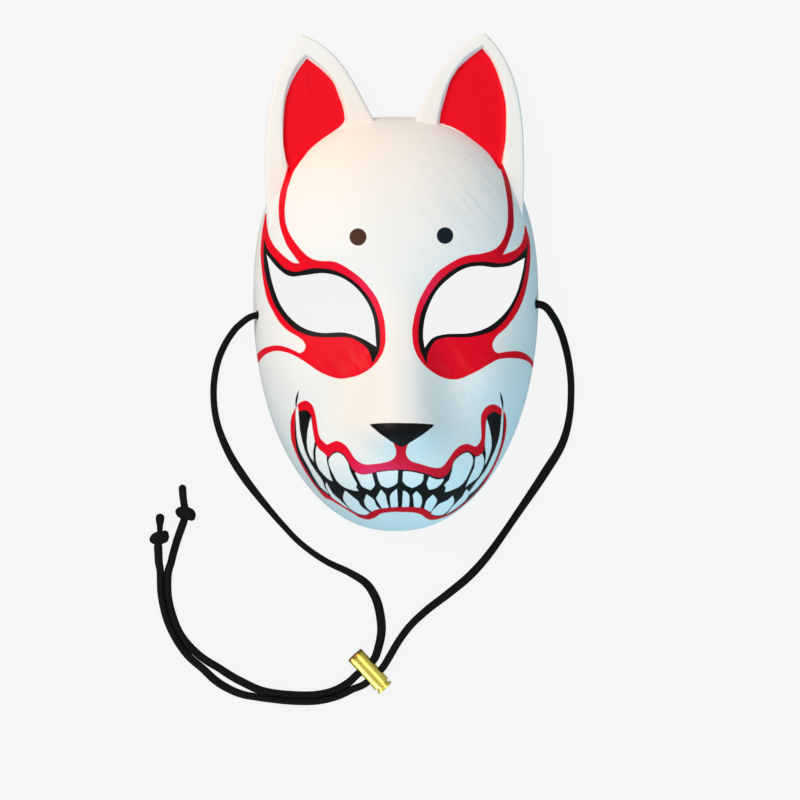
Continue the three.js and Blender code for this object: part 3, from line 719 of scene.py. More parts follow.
def ear_solid(name, ear, materials):
    """An ear: rings from its back's middle over the leaf's edge and the hollow's edge to the
    hollow's middle line, each at its depth under the rim. Front and back edges are quarter
    rounds, the hollow's side is the smooth step 3s^2 - 2s^3, and the back is flat."""
    leaf = leaf_line(ear["outer"], ear["inner"])
    hollow = leaf_line(ear["hollow_outer"], ear["hollow_inner"])
    spine = (bezier(ear["hollow_outer"], EAR_STEPS) + bezier(ear["hollow_inner"], EAR_STEPS)) / 2
    spine = spine[(np.arange(EAR_STEPS + 1) * EAR_SPINE_REACH).astype(int)]
    middle = np.concatenate([spine, spine[-2::-1], np.repeat(spine[:1], EAR_BASE_STEPS - 1, 0)])
    width = np.linalg.norm(hollow - leaf, axis=1)[:, None]
    slope = (leaf - hollow) * np.minimum(EAR_HOLLOW_SLOPE / width, EAR_SLOPE_MOST)

    def ring(line, depth):
        return np.concatenate([line, (ear_rim_at(line[:, 1]) - depth)[:, None]], 1)

    def drawn_in(amount):
        return leaf + (hollow - leaf) * np.minimum(amount / width, 1)

    quarter = np.linspace(0, math.pi / 2, EAR_ROUND_STEPS + 1)
    back_edge = drawn_in(EAR_BACK_ROUND)
    front_edge = drawn_in(EAR_EDGE_ROUND)
    rings = [ring(back_edge * (1 - share) + middle * share, EAR_THICKNESS)
             for share in shares_to(EAR_MIDDLE_REACH, EAR_BACK_STEPS)[::-1]]
    rings += [ring(drawn_in(EAR_BACK_ROUND * (1 - math.sin(turn))),
                   EAR_THICKNESS - EAR_BACK_ROUND * (1 - math.cos(turn))) for turn in quarter]
    rings += [ring(drawn_in(EAR_EDGE_ROUND * (1 - math.cos(turn))),
                   EAR_EDGE_ROUND * (1 - math.sin(turn))) for turn in quarter]
    rings += [ring(front_edge * (1 - share) + (hollow + slope) * share, 0)
              for share in shares_to(1, EAR_RIM_STEPS)]
    rings += [ring(hollow + slope * (1 - share), EAR_HOLLOW_DEPTH * (3 * share**2 - 2 * share**3))
              for share in shares_to(1, EAR_SLOPE_STEPS)]
    rings += [ring(hollow + (middle - hollow) * share, EAR_HOLLOW_DEPTH)
              for share in shares_to(EAR_MIDDLE_REACH, EAR_FLOOR_STEPS)]
    return closed_skin(name, np.array(rings), materials)


def eye_cutter(name, lids, materials):
    """A prism straight down through the shell between two lids."""
    upper, lower = (catmull_rom(lid, LID_STEPS) for lid in lids)
    outline = np.concatenate([upper[:-1], lower[:-1]])
    flat = np.zeros((len(outline), 1))
    rings = [np.concatenate([outline, flat + z], 1) for z in (-CUT_BELOW, FACE_DEPTH + 2 * NOSE_RISE)]
    return closed_skin(name, np.array(rings), materials)


def hole_cutter(name, side, materials):
    """A round way along X through a side wall."""
    turn = np.linspace(0, 2 * math.pi, ROUND_SIDES // 2, endpoint=False)
    radius = CORD_DIAMETER / 2 + CORD_HOLE_CLEARANCE
    middle = OUTWARDS[side] * (FACE_HALF_WIDTH - SHELL_WALL)
    ends = [middle - CORD_HOLE_LENGTH / 2, middle + CORD_HOLE_LENGTH / 2]
    circle = np.stack([HOLE_Y[side] + radius * np.cos(turn), HOLE_Z + radius * np.sin(turn)], -1)
    rings = [np.concatenate([np.full((len(turn), 1), x), circle], 1) for x in ends]
    return closed_skin(name, np.array(rings), materials)


def painted_outline(runs):
    """A closed line of pixels through runs that each start where the one before it ended."""
    line = []
    last = None
    for run in runs:
        points = run if last is None else [last, *run]
        smooth = catmull_rom(points, OUTLINE_STEPS)[:-1]
        line.append(smooth if len(points) > 2 else smooth[:1])
        last = points[-1]
    line.append(np.array([last], float))
    return np.concatenate(line)


def field_inside(places, outline):
    """Signed distance to a closed outline, in pixels: positive inside it. It is cut off at the
    field's reach outside. Inside or outside follows the crossings of a line to the right."""
    field = np.full(len(places), -FIELD_REACH, float)
    low, high = outline.min(0) - FIELD_REACH, outline.max(0) + FIELD_REACH
    near = np.flatnonzero(((places > low) & (places < high)).all(1))
    after = np.roll(outline, -1, 0)
    step = after - outline
    length = np.maximum((step**2).sum(1), LEAST_LENGTH)
    for part in np.array_split(near, max(1, len(near) // FIELD_BATCH)):
        offset = places[part][:, None] - outline
        along = np.clip((offset * step).sum(2) / length, 0, 1)
        distance = np.linalg.norm(offset - along[..., None] * step, axis=2).min(1)
        y = places[part][:, None, 1]
        spans = (outline[:, 1] > y) != (after[:, 1] > y)
        rise = np.where(step[:, 1] == 0, 1, step[:, 1])
        crossing = outline[:, 0] + (y - outline[:, 1]) / rise * step[:, 0]
        inside = (spans & (places[part][:, None, 0] < crossing)).sum(1) % 2 == 1
        field[part] = np.where(inside, distance, np.maximum(-distance, -FIELD_REACH))
    return field


def field_beside(places, line):
    """Signed distance to the side of an open line, and the share of the way along it, which
    goes below 0 and above 1 past its ends."""
    step = np.diff(line, axis=0)
    length = (step**2).sum(1)
    offset = places[:, None] - line[:-1]
    share = (offset * step).sum(2) / length
    low = np.where(np.arange(len(step)) == 0, -np.inf, 0)
    high = np.where(np.arange(len(step)) == len(step) - 1, np.inf, 1)
    held = np.clip(share, low, high)
    away = offset - held[..., None] * step
    nearest = (away**2).sum(2).argmin(1)
    rows = np.arange(len(places))
    across = np.stack([-step[:, 1], step[:, 0]], -1) / np.sqrt(length)[:, None]
    side = (away[rows, nearest] * across[nearest]).sum(1)
    return side, (nearest + held[rows, nearest]) / len(step)


def add_field(mesh, name, values):
    """A value at each corner of a mesh, for its material to read."""
    mesh.attributes.new(name, "FLOAT", "POINT").data.foreach_set("value", values.astype(np.float32))


def corner_places(mesh):
    """A mesh's corners in millimetres."""
    corners = np.empty(len(mesh.vertices) * 3, np.float32)
    mesh.vertices.foreach_get("co", corners)
    return corners.reshape(-1, 3).astype(float) / MM


def paint_fields(mesh):
    """The painting as fields: for each colour, how far inside its outlines a corner is seen."""
    corners = corner_places(mesh)
    places = picture_places(corners)
    in_front = corners[:, 2] > ear_rim_at(corners[:, 1]) - EAR_HOLLOW_DEPTH - EAR_EDGE_ROUND / 2

    def widest(outlines):
        return np.max([field_inside(places, painted_outline(runs)) for runs in outlines], 0)

    add_field(mesh, "ear_red", np.where(in_front, widest(EAR_RED.values()), -FIELD_REACH))
    add_field(mesh, "eye_red", widest(EYE_RED.values()))
    add_field(mesh, "brow_red", np.where(in_front, widest(BROW_LINE.values()), -FIELD_REACH))
    add_field(mesh, "eye_black", widest(EYE_BLACK.values()))
    add_field(mesh, "nose_black", widest([NOSE_BLACK]))
    over_lowest = (corners[:, 2] - LIPS_LOWEST) / PIXEL_AT_AIM
    add_field(mesh, "lips_red", np.minimum(widest([LIPS_RED]), over_lowest))
    add_field(mesh, "mouth_black", widest([MOUTH_BLACK]))
    dots = [radius - np.hypot(places[:, 0] - x, places[:, 1] - y) for x, y, radius in BROW_DOTS.values()]
    add_field(mesh, "dot_black", np.maximum(np.max(dots, 0), -FIELD_REACH))
    for name, outlines in TEETH_ROWS.items():
        add_field(mesh, name, widest(outlines))
    slit = np.full(len(places), -FIELD_REACH, float)
    beside = np.full(len(places), FIELD_REACH, float)
    for points in SLITS.values():
        line = catmull_rom(points, OUTLINE_STEPS)
        near = np.flatnonzero((np.abs(places - line.mean(0)) < 2 * FIELD_REACH).all(1))
        side, share = field_beside(places[near], line)
        beside[near] = side
        slit[near] = SLIT_HALF_WIDTH * (1 - (2 * share - 1)**2)
    add_field(mesh, "slit_side", beside)
    add_field(mesh, "slit_half_width", slit)


def tube(name, line, semi_axes, reference, materials):
    """A closed tube: ellipses of the given semi-axes along a line, the first axis across both the
    line and the reference direction and the second across the line and the first."""
    tangent = unit(np.gradient(line, axis=0))
    across = unit(np.cross(reference, tangent))
    along = np.cross(tangent, across)
    turn = np.linspace(0, 2 * math.pi, CORD_SIDES, endpoint=False)[None, :, None]
    rings = (line[:, None] + across[:, None] * np.cos(turn) * semi_axes[:, None, :1]
             + along[:, None] * np.sin(turn) * semi_axes[:, None, 1:])
    return closed_skin(name, rings, materials, ways_along(line) / (math.pi * CORD_DIAMETER))


def rounded_ends(line, radius, start=True):
    """Radii along a tube that closes as a half ball at its end, and at its start if asked:
    radius * sqrt(1 - near^2), where near is 1 at the end and 0 a radius away from it."""
    ways = ways_along(line)
    to_end = ways[-1] - ways
    distance = np.minimum(ways, to_end) if start else to_end
    near = np.clip(1 - distance / radius, 0, 1)
    return radius * np.sqrt(np.maximum(1 - near**2, TIP_SHARE**2))


def braided_cord(side, materials):
    """A cord along its way, from inside its hole to its tail's knot, as wide as its widths say,
    and flatter where it is wider. Beside the other cord its inner side spreads to half the
    distance between them, so that the two touch, and its outer side tightens."""
    lines = {key: evenly(centripetal(way, SPAN_STEPS), CORD_RING_STEP) for key, way in CORD_WAYS.items()}
    line = lines.pop(side)
    other, = lines.values()
    radius = CORD_DIAMETER / 2
    widths = catmull_rom([[width] for width in CORD_WIDTHS[side]], SPAN_STEPS)[:, 0]
    share = spread_evenly(widths, len(line))
    own = radius * share
    distance = np.linalg.norm(line[:, None] - other, axis=2)
    apart = distance.min(1)
    near = np.clip((CORD_APART - apart) / CORD_MEETS_OVER, 0, 1)
    inner = own + (np.clip(apart / 2, own, radius * CORD_MOST_WIDENED) - own) * near
    outer = own * (1 - CORD_OUTER_TIGHTENED[side] * near)
    towards = unit((other[distance.argmin(1)] - line) * (1, 1, 0))
    line = line + towards * ((inner - outer) / 2)[:, None]
    height = radius * np.minimum(1 - CORD_FLATTENED * (share - 1), 1)
    semi_axes = np.stack([(inner + outer) / 2, height], -1)
    return tube(f"braided_cord_{side}", line, semi_axes, UP, materials), line


def knot(name, size, coming, ends, widths, slant, materials):
    """A tight knot: the cord comes in, is wrapped about its own line, and runs on to its free
    end. The wrap is a flattened helix of KNOT_TURNS turns, slanted across the line by the slant,
    which sinks into the middle at both of its ends. A core of ellipses fills it. The widths are
    shares of the cord's own, evenly along the line from where it comes in to its tip."""
    middle = np.array(ends[0], float)
    axis = unit(np.array(ends[1], float) - middle)
    aside = unit(np.cross(UP, axis))
    above = np.cross(axis, aside)
    radius = CORD_DIAMETER / 2
    turn = np.linspace(-KNOT_TURNS * math.pi, KNOT_TURNS * math.pi, KNOT_STEPS)[:, None]
    sunk = 1 - KNOT_SINK * np.abs(turn / turn[-1])**KNOT_SINK_POWER
    across = np.cos(turn) * (size["across"] / 2 - radius) * sunk
    out = aside * across + above * np.sin(turn) * (size["tall"] / 2 - radius) * sunk
    pitch = (size["along"] / 2 - radius) * turn / turn[-1] + slant * across
    wrap_line = middle + axis * pitch + out
    wrap_radii = np.stack([rounded_ends(wrap_line, radius)] * 2, -1)
    wrap = tube(f"{name}_wrap", wrap_line, wrap_radii, unit(out), materials)
    share = np.sin(np.linspace(-CORE_TURN, CORE_TURN, CORE_STEPS))[:, None]
    core_line = middle + (aside + axis * slant) * share * size["across"] / 2 * KNOT_CORE
    core_axes = np.sqrt(1 - share**2) * np.array((size["along"], size["tall"])) / 2 * KNOT_CORE
    core = tube(f"{name}_core", core_line, core_axes, UP, materials)
    line = evenly(centripetal([*coming, *ends], SPAN_STEPS), END_RING_STEP)
    radii = spread_evenly(widths, len(line)) * rounded_ends(line, radius, start=False)
    end = tube(name, line, np.stack([radii] * 2, -1), UP, materials)
    return joined(end, wrap, core)


def joined(piece, *others):
    """Several objects as one."""
    with bpy.context.temp_override(active_object=piece, selected_editable_objects=[piece, *others]):
        bpy.ops.object.join()
    return piece


def inner_knot(side, materials):
    """The knot inside the mask, off the wall by the touching gap, on the line of the hole."""
    out = OUTWARDS[side]
    x = CORD_WAYS[side][0][0] - out * (INNER_KNOT["along"] / 2 + TOUCH_GAP)
    y = HOLE_Y[side]
    ends = [(x, y, HOLE_Z), (x - out * INNER_END["turn"], y, HOLE_Z - INNER_END["drop"]),
            (x - out * INNER_END["reach"], y + INNER_END["aside"], HOLE_Z - INNER_END["fall"])]
    coming = CORD_WAYS[side][:1]
    return knot(f"stopper_knot_{side}", INNER_KNOT, coming, ends, INNER_WIDTHS, INNER_SLANT, materials)


def turned(name, profile, materials):
    """A turned piece of the toggle from its profile of radius and place along the axis."""
    profile = np.array(profile, float)
    turn = np.linspace(0, 2 * math.pi, ROUND_SIDES, endpoint=False)[None, :, None]
    radius, place = profile[:, None, :1], profile[:, None, 1:]
    rings = TOGGLE_START + TOGGLE_AXIS * place + radius * (TOGGLE_ASIDE * np.cos(turn) + UP * np.sin(turn))
    return closed_skin(name, rings, materials)


def rounded_side(radius, low, high, size, between=0):
    """The side of a turned profile from low to high: a quarter round of the size at each end,
    and some even places between them."""
    turns = np.linspace(0, math.pi / 2, ROUND_POINTS)
    lower = [(radius - size + size * math.sin(turn), low + size - size * math.cos(turn)) for turn in turns]
    wall = [(radius, place) for place in np.linspace(low + size, high - size, between + 2)[1:-1]]
    upper = [(radius - size + size * math.cos(turn), high - size + size * math.sin(turn)) for turn in turns]
    return lower + wall + upper


def cord_ways(travel, materials):
    """Round ways for the cords across the toggle, each longer along its axis by the travel."""
    radius = CORD_DIAMETER / 2 + CORD_WAY_CLEARANCE
    turn = np.linspace(0, 2 * math.pi, ROUND_SIDES // 2, endpoint=False) + math.pi / ROUND_SIDES
    place = (1 + np.sign(np.cos(turn))) * travel / 2 + radius * np.cos(turn)
    ring = TOGGLE_START + TOGGLE_AXIS * place[:, None] + UP * (radius * np.sin(turn))[:, None]
    ends = np.array([ring - TOGGLE_ASIDE * BARREL_DIAMETER, ring + TOGGLE_ASIDE * BARREL_DIAMETER])
    return [closed_skin(f"way_{k}", ends + TOGGLE_AXIS * at, materials) for k, at in enumerate(WAYS_AT)]


def toggle_barrel(materials):
    """The closed barrel: a cup with rounded edges, pierced twice for the cords."""
    bore = BARREL_DIAMETER / 2 - BARREL_WALL
    side = rounded_side(BARREL_DIAMETER / 2, 0, BARREL_LENGTH, BARREL_ROUND, BARREL_PLACES)
    inside = [(bore, BARREL_LENGTH), (bore, BARREL_END), (AXIS_RADIUS, BARREL_END)]
    barrel = turned("lock_barrel", [(AXIS_RADIUS, 0), *side, *inside], materials)
    return carve(barrel, cut=cord_ways(0, materials))


def toggle_plunger(materials):
    """The sprung plunger with its button, pierced for the cords by ways as long as its travel."""
    radius = BARREL_DIAMETER / 2 - BARREL_WALL - PLUNGER_CLEARANCE
    inner_end = BARREL_END + PRESSED_SPRING + PLUNGER_TRAVEL
    button_at = BARREL_LENGTH + PLUNGER_CLEARANCE + PLUNGER_TRAVEL
    top = button_at + BUTTON_THICKNESS
    stem = [(AXIS_RADIUS, inner_end), (radius, inner_end), (radius, button_at)]
    button = rounded_side(BUTTON_DIAMETER / 2, button_at, top, BUTTON_ROUND)
    plunger = turned("lock_plunger", [*stem, *button, (AXIS_RADIUS, top)], materials)
    return carve(plunger, cut=cord_ways(PLUNGER_TRAVEL, materials))


class Socket:
    """A value in a material. Python's operators on it add Math nodes."""

    def __init__(self, finish, socket):
        self.finish = finish
        self.socket = socket

    def maths(self, operation, *values):
        return self.finish.node("ShaderNodeMath", {"operation": operation}, values)

    def __add__(self, other):
        return self.maths("ADD", self, other)

    __radd__ = __add__

    def __sub__(self, other):
        return self.maths("SUBTRACT", self, other)

    def __rsub__(self, other):
        return self.maths("SUBTRACT", other, self)

    def __mul__(self, other):
        return self.maths("MULTIPLY", self, other)

    __rmul__ = __mul__

    def __truediv__(self, other):
        return self.maths("DIVIDE", self, other)

    def __rtruediv__(self, other):
        return self.maths("DIVIDE", other, self)

    def __pow__(self, other):
        return self.maths("POWER", self, other)

    def most(self, other):
        return self.maths("MAXIMUM", self, other)

    def least(self, other):
        return self.maths("MINIMUM", self, other)

    def size(self):
        return self.maths("ABSOLUTE", self)

    def part(self):
        return self.maths("FRACT", self)

    def whole(self):
        return self.maths("FLOOR", self)

    def held(self):
        """The value held between 0 and 1."""
        return self.most(0).least(1)


class Finish:
    """A material in the making: a Principled shader and the nodes that feed it."""

    def __init__(self, name):
        self.material = bpy.data.materials.new(name)
        self.material.use_nodes = True
        self.tree = self.material.node_tree
        self.shader = self.tree.nodes["Principled BSDF"]

    def node(self, kind, settings, values, output=0):
        """A node of a kind, its settings made first, with values or links for its sockets, in
        their order or by name. It gives back one of its outputs."""
        node = self.tree.nodes.new(kind)
        for name, setting in settings.items():
            setattr(node, name, setting)
        pairs = values.items() if isinstance(values, dict) else enumerate(values)
        for key, value in pairs:
            self.feed(self.found(node.inputs, key), value)
        return Socket(self, self.found(node.outputs, output))

    @staticmethod
    def found(sockets, key):
        """A socket by its place, its identifier or its name."""
        if isinstance(key, int):
            return sockets[key]
        named = [s for s in sockets if s.identifier == key]
        return named[0] if named else sockets[key]

    def feed(self, socket, value):
        if isinstance(value, Socket):
            self.tree.links.new(value.socket, socket)
        else:
            socket.default_value = value

    def set(self, **values):
        """Values or links for the shader's own sockets, with _ for a space in their names."""
        for name, value in values.items():
            self.feed(self.shader.inputs[name.replace("_", " ")], value)

    def field(self, name):
        return self.node("ShaderNodeAttribute", {"attribute_name": name}, {}, "Fac")

    def places(self):
        """Places on the piece, in metres."""
        return self.node("ShaderNodeTexCoord", {}, {}, "Object")

    def mapped(self, places, **values):
        return self.node("ShaderNodeMapping", {}, {"Vector": places, **values}, "Vector")

    def noise(self, places, scale, detail=2, roughness=0.5):
        return self.node("ShaderNodeTexNoise", {},
                         {"Vector": places, "Scale": scale, "Detail": detail, "Roughness": roughness}, "Fac")

    def mix(self, share, first, second):
        return self.node("ShaderNodeMix", {"data_type": "RGBA"},
                         {"Factor_Float": share, "A_Color": first, "B_Color": second}, "Result_Color")

    def bump(self, height, depth):
        """A bump as deep as the depth, in millimetres."""
        return self.node("ShaderNodeBump", {}, {"Height": height, "Distance": depth * MM, "Strength": 1},
                         "Normal")

    def axis(self, vector, name):
        return self.node("ShaderNodeSeparateXYZ", {}, [vector], name)


# Colours of the paints and of the other finishes. Some are painted light and shade: the
# warm-lit white, the white in cool shade, the shaded, cool-shaded and highlighted reds, the
# dots' warm and cool light, the cord's lit tops and shaded grooves, and the brass's shaded end
WHITE = (0.90, 0.885, 0.865, 1)
WHITE_THIN = (0.85, 0.825, 0.79, 1)
WHITE_WARM_LIT = (0.93, 0.84, 0.73, 1)
WHITE_COOL_SHADE = (0.70, 0.76, 0.80, 1)
TOOTH_WHITE = (0.99, 0.95, 0.91, 1)
RED = (0.90, 0.0012, 0.012, 1)
RED_THIN = (0.80, 0.0010, 0.014, 1)
RED_SHADED = (0.50, 0.0010, 0.010, 1)
RED_COOL_SHADE = (0.92, 0.030, 0.13, 1)
RED_SHEEN = (0.93, 0.10, 0.07, 1)
BLACK = (0.004, 0.003, 0.004, 1)
BLACK_THIN = (0.012, 0.009, 0.009, 1)
DOT_WARM_LIT = (0.070, 0.022, 0.014, 1)
DOT_COOL_LIT = (0.008, 0.014, 0.022, 1)
INSIDE = (0.62, 0.60, 0.56, 1)
INSIDE_DARKER = (0.5332, 0.516, 0.4816, 1)
CORD_SHADED = (0.0012, 0.0011, 0.0012, 1)
CORD_LIT = (0.012, 0.008, 0.006, 1)
BRASS = (1.0, 0.80, 0.15, 1)
BRASS_DULL = (0.72, 0.52, 0.06, 1)
BRASS_END_SHADE = (0.22, 0.05, 0.004, 1)

# Soft tints over the face, of painted light and shade: middle, half widths and greatest share
# of each. First, painted warm light on the upper left of the forehead and on the left of the snout
WARM_LIGHT_TINTS = [
    {"x": -26, "y": 72, "wide": 60, "tall": 36, "share": 0.6},
    {"x": -22, "y": -60, "wide": 26, "tall": 24, "share": 0.6},
]
# Brush stripes, coloured with painted cool shade on the right of the forehead and of the nose
BRUSH_STRIPES_SHADED = [
    {"x": 38, "y": 46, "wide": 26, "tall": 34, "share": 0.6},
    {"x": 33, "y": -58, "wide": 24, "tall": 20, "share": 0.3},
]
BRUSH_TURN = math.radians(-38)
# Painted cool shade, which turns the red crimson under the nose and on the upper lids beside the bridge
COOL_SHADE_ON_RED = [
    {"x": -13, "y": -97, "wide": 22, "tall": 8, "share": 1},
    {"x": -16, "y": -7, "wide": 12, "tall": 20, "share": 0.45},
    {"x": 16, "y": -7, "wide": 12, "tall": 20, "share": 0.45},
]
# A painted highlight, in brush stripes, on the red under the eyes
RED_SHEEN_PLACES = [
    {"x": -21, "y": -42, "wide": 13, "tall": 10, "share": 0.22},
    {"x": 30, "y": -42, "wide": 15, "tall": 10, "share": 0.1},
]

# The brow line's red is darkened by painted shade beside the face, and the dots have painted warm
# light on the left going to cool light on the right: where this starts, and over how many millimetres
BROW_SHADE_FROM = 48
BROW_SHADE_OVER = 10
DOT_LIGHT_BLEND = 10

# How soft a painted edge is and how far it wanders, in the picture's pixels
EDGE_SOFTNESS = 0.7
EDGE_WANDER = 0.5

# How far a wet coat spread past its outline, in the same pixels
PAINT_SPREAD = 0.6

# Waves to the metre of each material's noises, and how far its streaks are drawn out
EDGE_GRAIN = 420
STREAK_GRAIN = 900
STREAK_DRAWN = 0.12
PATCH_GRAIN = 24
LUMP_GRAIN = 160
BRUSH_GRAIN = 330
BRUSH_DRAWN = 0.09
HOLE_GRAIN = 700
INSIDE_GRAIN = 500
INSIDE_DRAWN = 0.15
BLOTCH_GRAIN = 60
FUZZ_GRAIN = 3000
BRASS_GRAIN = 1400
BRASS_DRAWN = 0.04
WEAR_GRAIN = 260
STREAK_ROUGHNESS = 0.6

# How much patches and streaks thin the white, less a part that doesn't show, and the same for
# the dulled brass. Brushed stripes are a noise made sharper, less its lower part.
PATCHES_THIN = 0.6
STREAKS_THIN = 0.4
THINNED_LESS = 0.2
STREAKS_DULL = 1.4
WEAR_DULLS = 0.5
DULLED_LESS = 0.7
STRIPE_CONTRAST = 6
STRIPE_LESS = 2.6

# How high each coat and the marks in it stand, as shares of the bump's depth
COAT_HEIGHTS = {"red": 0.25, "mouth": 0.125, "black": 0.175, "teeth": 0.125, "streaks": 0.25, "lumps": 0.35}

# Roughness of each finish, and how much rougher or smoother its coats and marks are
PAINT_ROUGHNESS = 0.5
DARK_SMOOTHER = 0.14
RED_SMOOTHER = 0.06
STREAKS_ROUGHER = 0.1
HOLE_ROUGHNESS = 0.42
INSIDE_ROUGHNESS = 0.68
BLOTCHES_ROUGHER = 0.14
CORD_ROUGHNESS = 0.6
FUZZ_ROUGHER = 0.2
BRASS_ROUGHNESS = 0.15
WEAR_ROUGHER = 0.14

# Depths of the bumps, in millimetres, and gloss
PAINT_BUMP = 0.1
INSIDE_BUMP = 0.3
BRAID_BUMP = 0.35
BRASS_BUMP = 0.03
PAINT_GLOSS = 0.09
HOLE_GLOSS = 0.15
CORD_GLOSS = 0.10

# Strands of the braid in each direction round it, and the fuzz over them
STRANDS = 8
FUZZ_SHARE = 0.3

# The toggle's brass, and the length over which painted shade darkens its closed end
BRASS_METALLIC = 0.8
END_SHADE_LENGTH = 2.6


def face_paint():
    """The painted front: white ground, then red, black and the teeth's white, each with brush
    marks and a thin edge that stands up. A tint is a bell, share / (1 + across^2 + along^2)^2."""
    paint = Finish("face_paint")
    places = paint.places()
    wander = (paint.noise(places, EDGE_GRAIN) - 0.5) * EDGE_WANDER
    x, y = (paint.axis(places, name) * (1 / MM) for name in "XY")

    def covered(distance):
        return (distance / EDGE_SOFTNESS + 0.5).held()

    def area(name, spread=0):
        return covered(paint.field(name) + spread + wander)

    def areas(names, spread=0):
        return reduce(Socket.most, [area(name, spread) for name in names])

    def bell(tint):
        across, along = (x - tint["x"]) / tint["wide"], (y - tint["y"]) / tint["tall"]
        return tint["share"] / (1 + across ** 2 + along ** 2) ** 2

    def bells(tints):
        return sum([bell(tint) for tint in tints[1:]], bell(tints[0])).held()

    red = areas(["eye_red", "lips_red", "ear_red"], PAINT_SPREAD).most(area("brow_red", PAINT_SPREAD / 2))
    mouth = area("mouth_black")
    dots = area("dot_black", PAINT_SPREAD)
    black = area("eye_black", PAINT_SPREAD / 2).most(area("nose_black", PAINT_SPREAD))
    teeth = areas(["teeth_first", "teeth_second", "teeth_third", "teeth_fourth"])
    bands = area("side_bands")
    slit = covered(paint.field("slit_half_width") - paint.field("slit_side").size())
    streaks = paint.noise(paint.mapped(places, Scale=(1, STREAK_DRAWN, 1)), STREAK_GRAIN, 3, STREAK_ROUGHNESS)
    patches = paint.noise(places, PATCH_GRAIN, 3)
    lumps = paint.noise(places, LUMP_GRAIN, 3)
    brushways = paint.mapped(paint.mapped(places, Rotation=(0, 0, BRUSH_TURN)), Scale=(1, BRUSH_DRAWN, 1))
    stripes = (paint.noise(brushways, BRUSH_GRAIN, 3) * STRIPE_CONTRAST - STRIPE_LESS).held()

    thinned = (patches * PATCHES_THIN + streaks * STREAKS_THIN - THINNED_LESS).held()
    white = paint.mix(thinned, WHITE, WHITE_THIN)
    # Painted warm light on the upper left of the forehead and on the left of the snout
    white = paint.mix(bells(WARM_LIGHT_TINTS), white, WHITE_WARM_LIT)
    # Brush stripes, coloured with painted cool shade on the right of the forehead and of the nose
    white = paint.mix(stripes * bells(BRUSH_STRIPES_SHADED), white, WHITE_COOL_SHADE)
    red_coat = paint.mix(streaks, RED, RED_THIN)
    # Painted shade darkens the brow line's red on the right side of the face
    red_coat = paint.mix(((x - BROW_SHADE_FROM) / BROW_SHADE_OVER).held() * area("brow_red"), red_coat, RED_SHADED)
    # Painted cool shade turns the red crimson under the nose and on the upper lids beside the bridge
    red_coat = paint.mix(bells(COOL_SHADE_ON_RED), red_coat, RED_COOL_SHADE)
    # A painted highlight, in brush stripes, on the red under the eyes
    red_coat = paint.mix(stripes * bells(RED_SHEEN_PLACES), red_coat, RED_SHEEN)
    black_coat = paint.mix(streaks, BLACK, BLACK_THIN)
    tooth_coat = paint.mix(streaks, TOOTH_WHITE, WHITE)
    # The black dots have painted warm light on the left, going to painted cool light on the right
    dot_coat = paint.mix((x / DOT_LIGHT_BLEND + 0.5).held(), DOT_WARM_LIT, DOT_COOL_LIT)

    coats = [(red, red_coat), (mouth, black_coat), ((teeth * mouth).most(bands), tooth_coat),
             (black, black_coat), (dots, dot_coat), (slit, black_coat)]
    colour = reduce(lambda under, coat: paint.mix(coat[0], under, coat[1]), coats, white)
    black = black.most(dots)
    layers = {"red": red, "mouth": mouth, "black": black, "teeth": teeth, "streaks": streaks, "lumps": lumps}
    height = sum(layer * COAT_HEIGHTS[name] for name, layer in layers.items())
    dark = black.most(mouth * (1 - teeth))
    rough = PAINT_ROUGHNESS - DARK_SMOOTHER * dark + STREAKS_ROUGHER * streaks - RED_SMOOTHER * red
    paint.set(Base_Color=colour, Roughness=rough, Normal=paint.bump(height, PAINT_BUMP),
              Specular_IOR_Level=PAINT_GLOSS)
    return paint.material


def eye_edge():
    """Black paint on the cut edges of the eye holes."""
    paint = Finish("eye_edge")
    streaks = paint.noise(paint.places(), HOLE_GRAIN, 3)
    paint.set(Base_Color=paint.mix(streaks, BLACK, BLACK_THIN),
              Roughness=HOLE_ROUGHNESS + STREAKS_ROUGHER * streaks, Specular_IOR_Level=HOLE_GLOSS)
    return paint.material


def inside_coat():
    """The plain moulded inside: a matt pale coat with brushed streaks."""
    paint = Finish("inside_coat")
    places = paint.places()
    streaks = paint.noise(paint.mapped(places, Scale=(INSIDE_DRAWN, 1, 1)), INSIDE_GRAIN, 4, STREAK_ROUGHNESS)
    blotches = paint.noise(places, BLOTCH_GRAIN, 3)
    paint.set(Base_Color=paint.mix((streaks + blotches) * 0.5, INSIDE, INSIDE_DARKER),
              Roughness=INSIDE_ROUGHNESS + BLOTCHES_ROUGHER * blotches,
              Normal=paint.bump(streaks * 0.5 + blotches, INSIDE_BUMP))
    return paint.material


def braid():
    """Round braid: two families of strands that wind against each other and pass over one
    another in turn. Each strand's top is 1 - (2p - 1)^2 across it. The tops are painted lighter
    and the grooves between them darker, as painted highlight and shade, with some random fuzz."""
    cord = Finish("cord_braid")
    lay = cord.node("ShaderNodeUVMap", {"uv_map": "lay"}, {}, "UV")
    along, turn = (cord.axis(lay, name) * STRANDS for name in "XY")
    first = along + turn
    second = along - turn
    over = ((first.whole() + second.whole()) / 2).part() * 2
    top_first = 1 - (first.part() * 2 - 1) ** 2
    top_second = 1 - (second.part() * 2 - 1) ** 2
    height = top_first * over + top_second * (1 - over)
    fuzz = cord.noise(cord.places(), FUZZ_GRAIN)
    # Painted highlight on the strand tops and painted shade in the grooves, mixed with random fuzz
    lit = (height * (1 - FUZZ_SHARE) + fuzz * FUZZ_SHARE).held()
    cord.set(Base_Color=cord.mix(lit, CORD_SHADED, CORD_LIT), Specular_IOR_Level=CORD_GLOSS,
             Roughness=CORD_ROUGHNESS + FUZZ_ROUGHER * fuzz,
             Normal=cord.bump(height + FUZZ_SHARE * fuzz, BRAID_BUMP))
    return cord.material


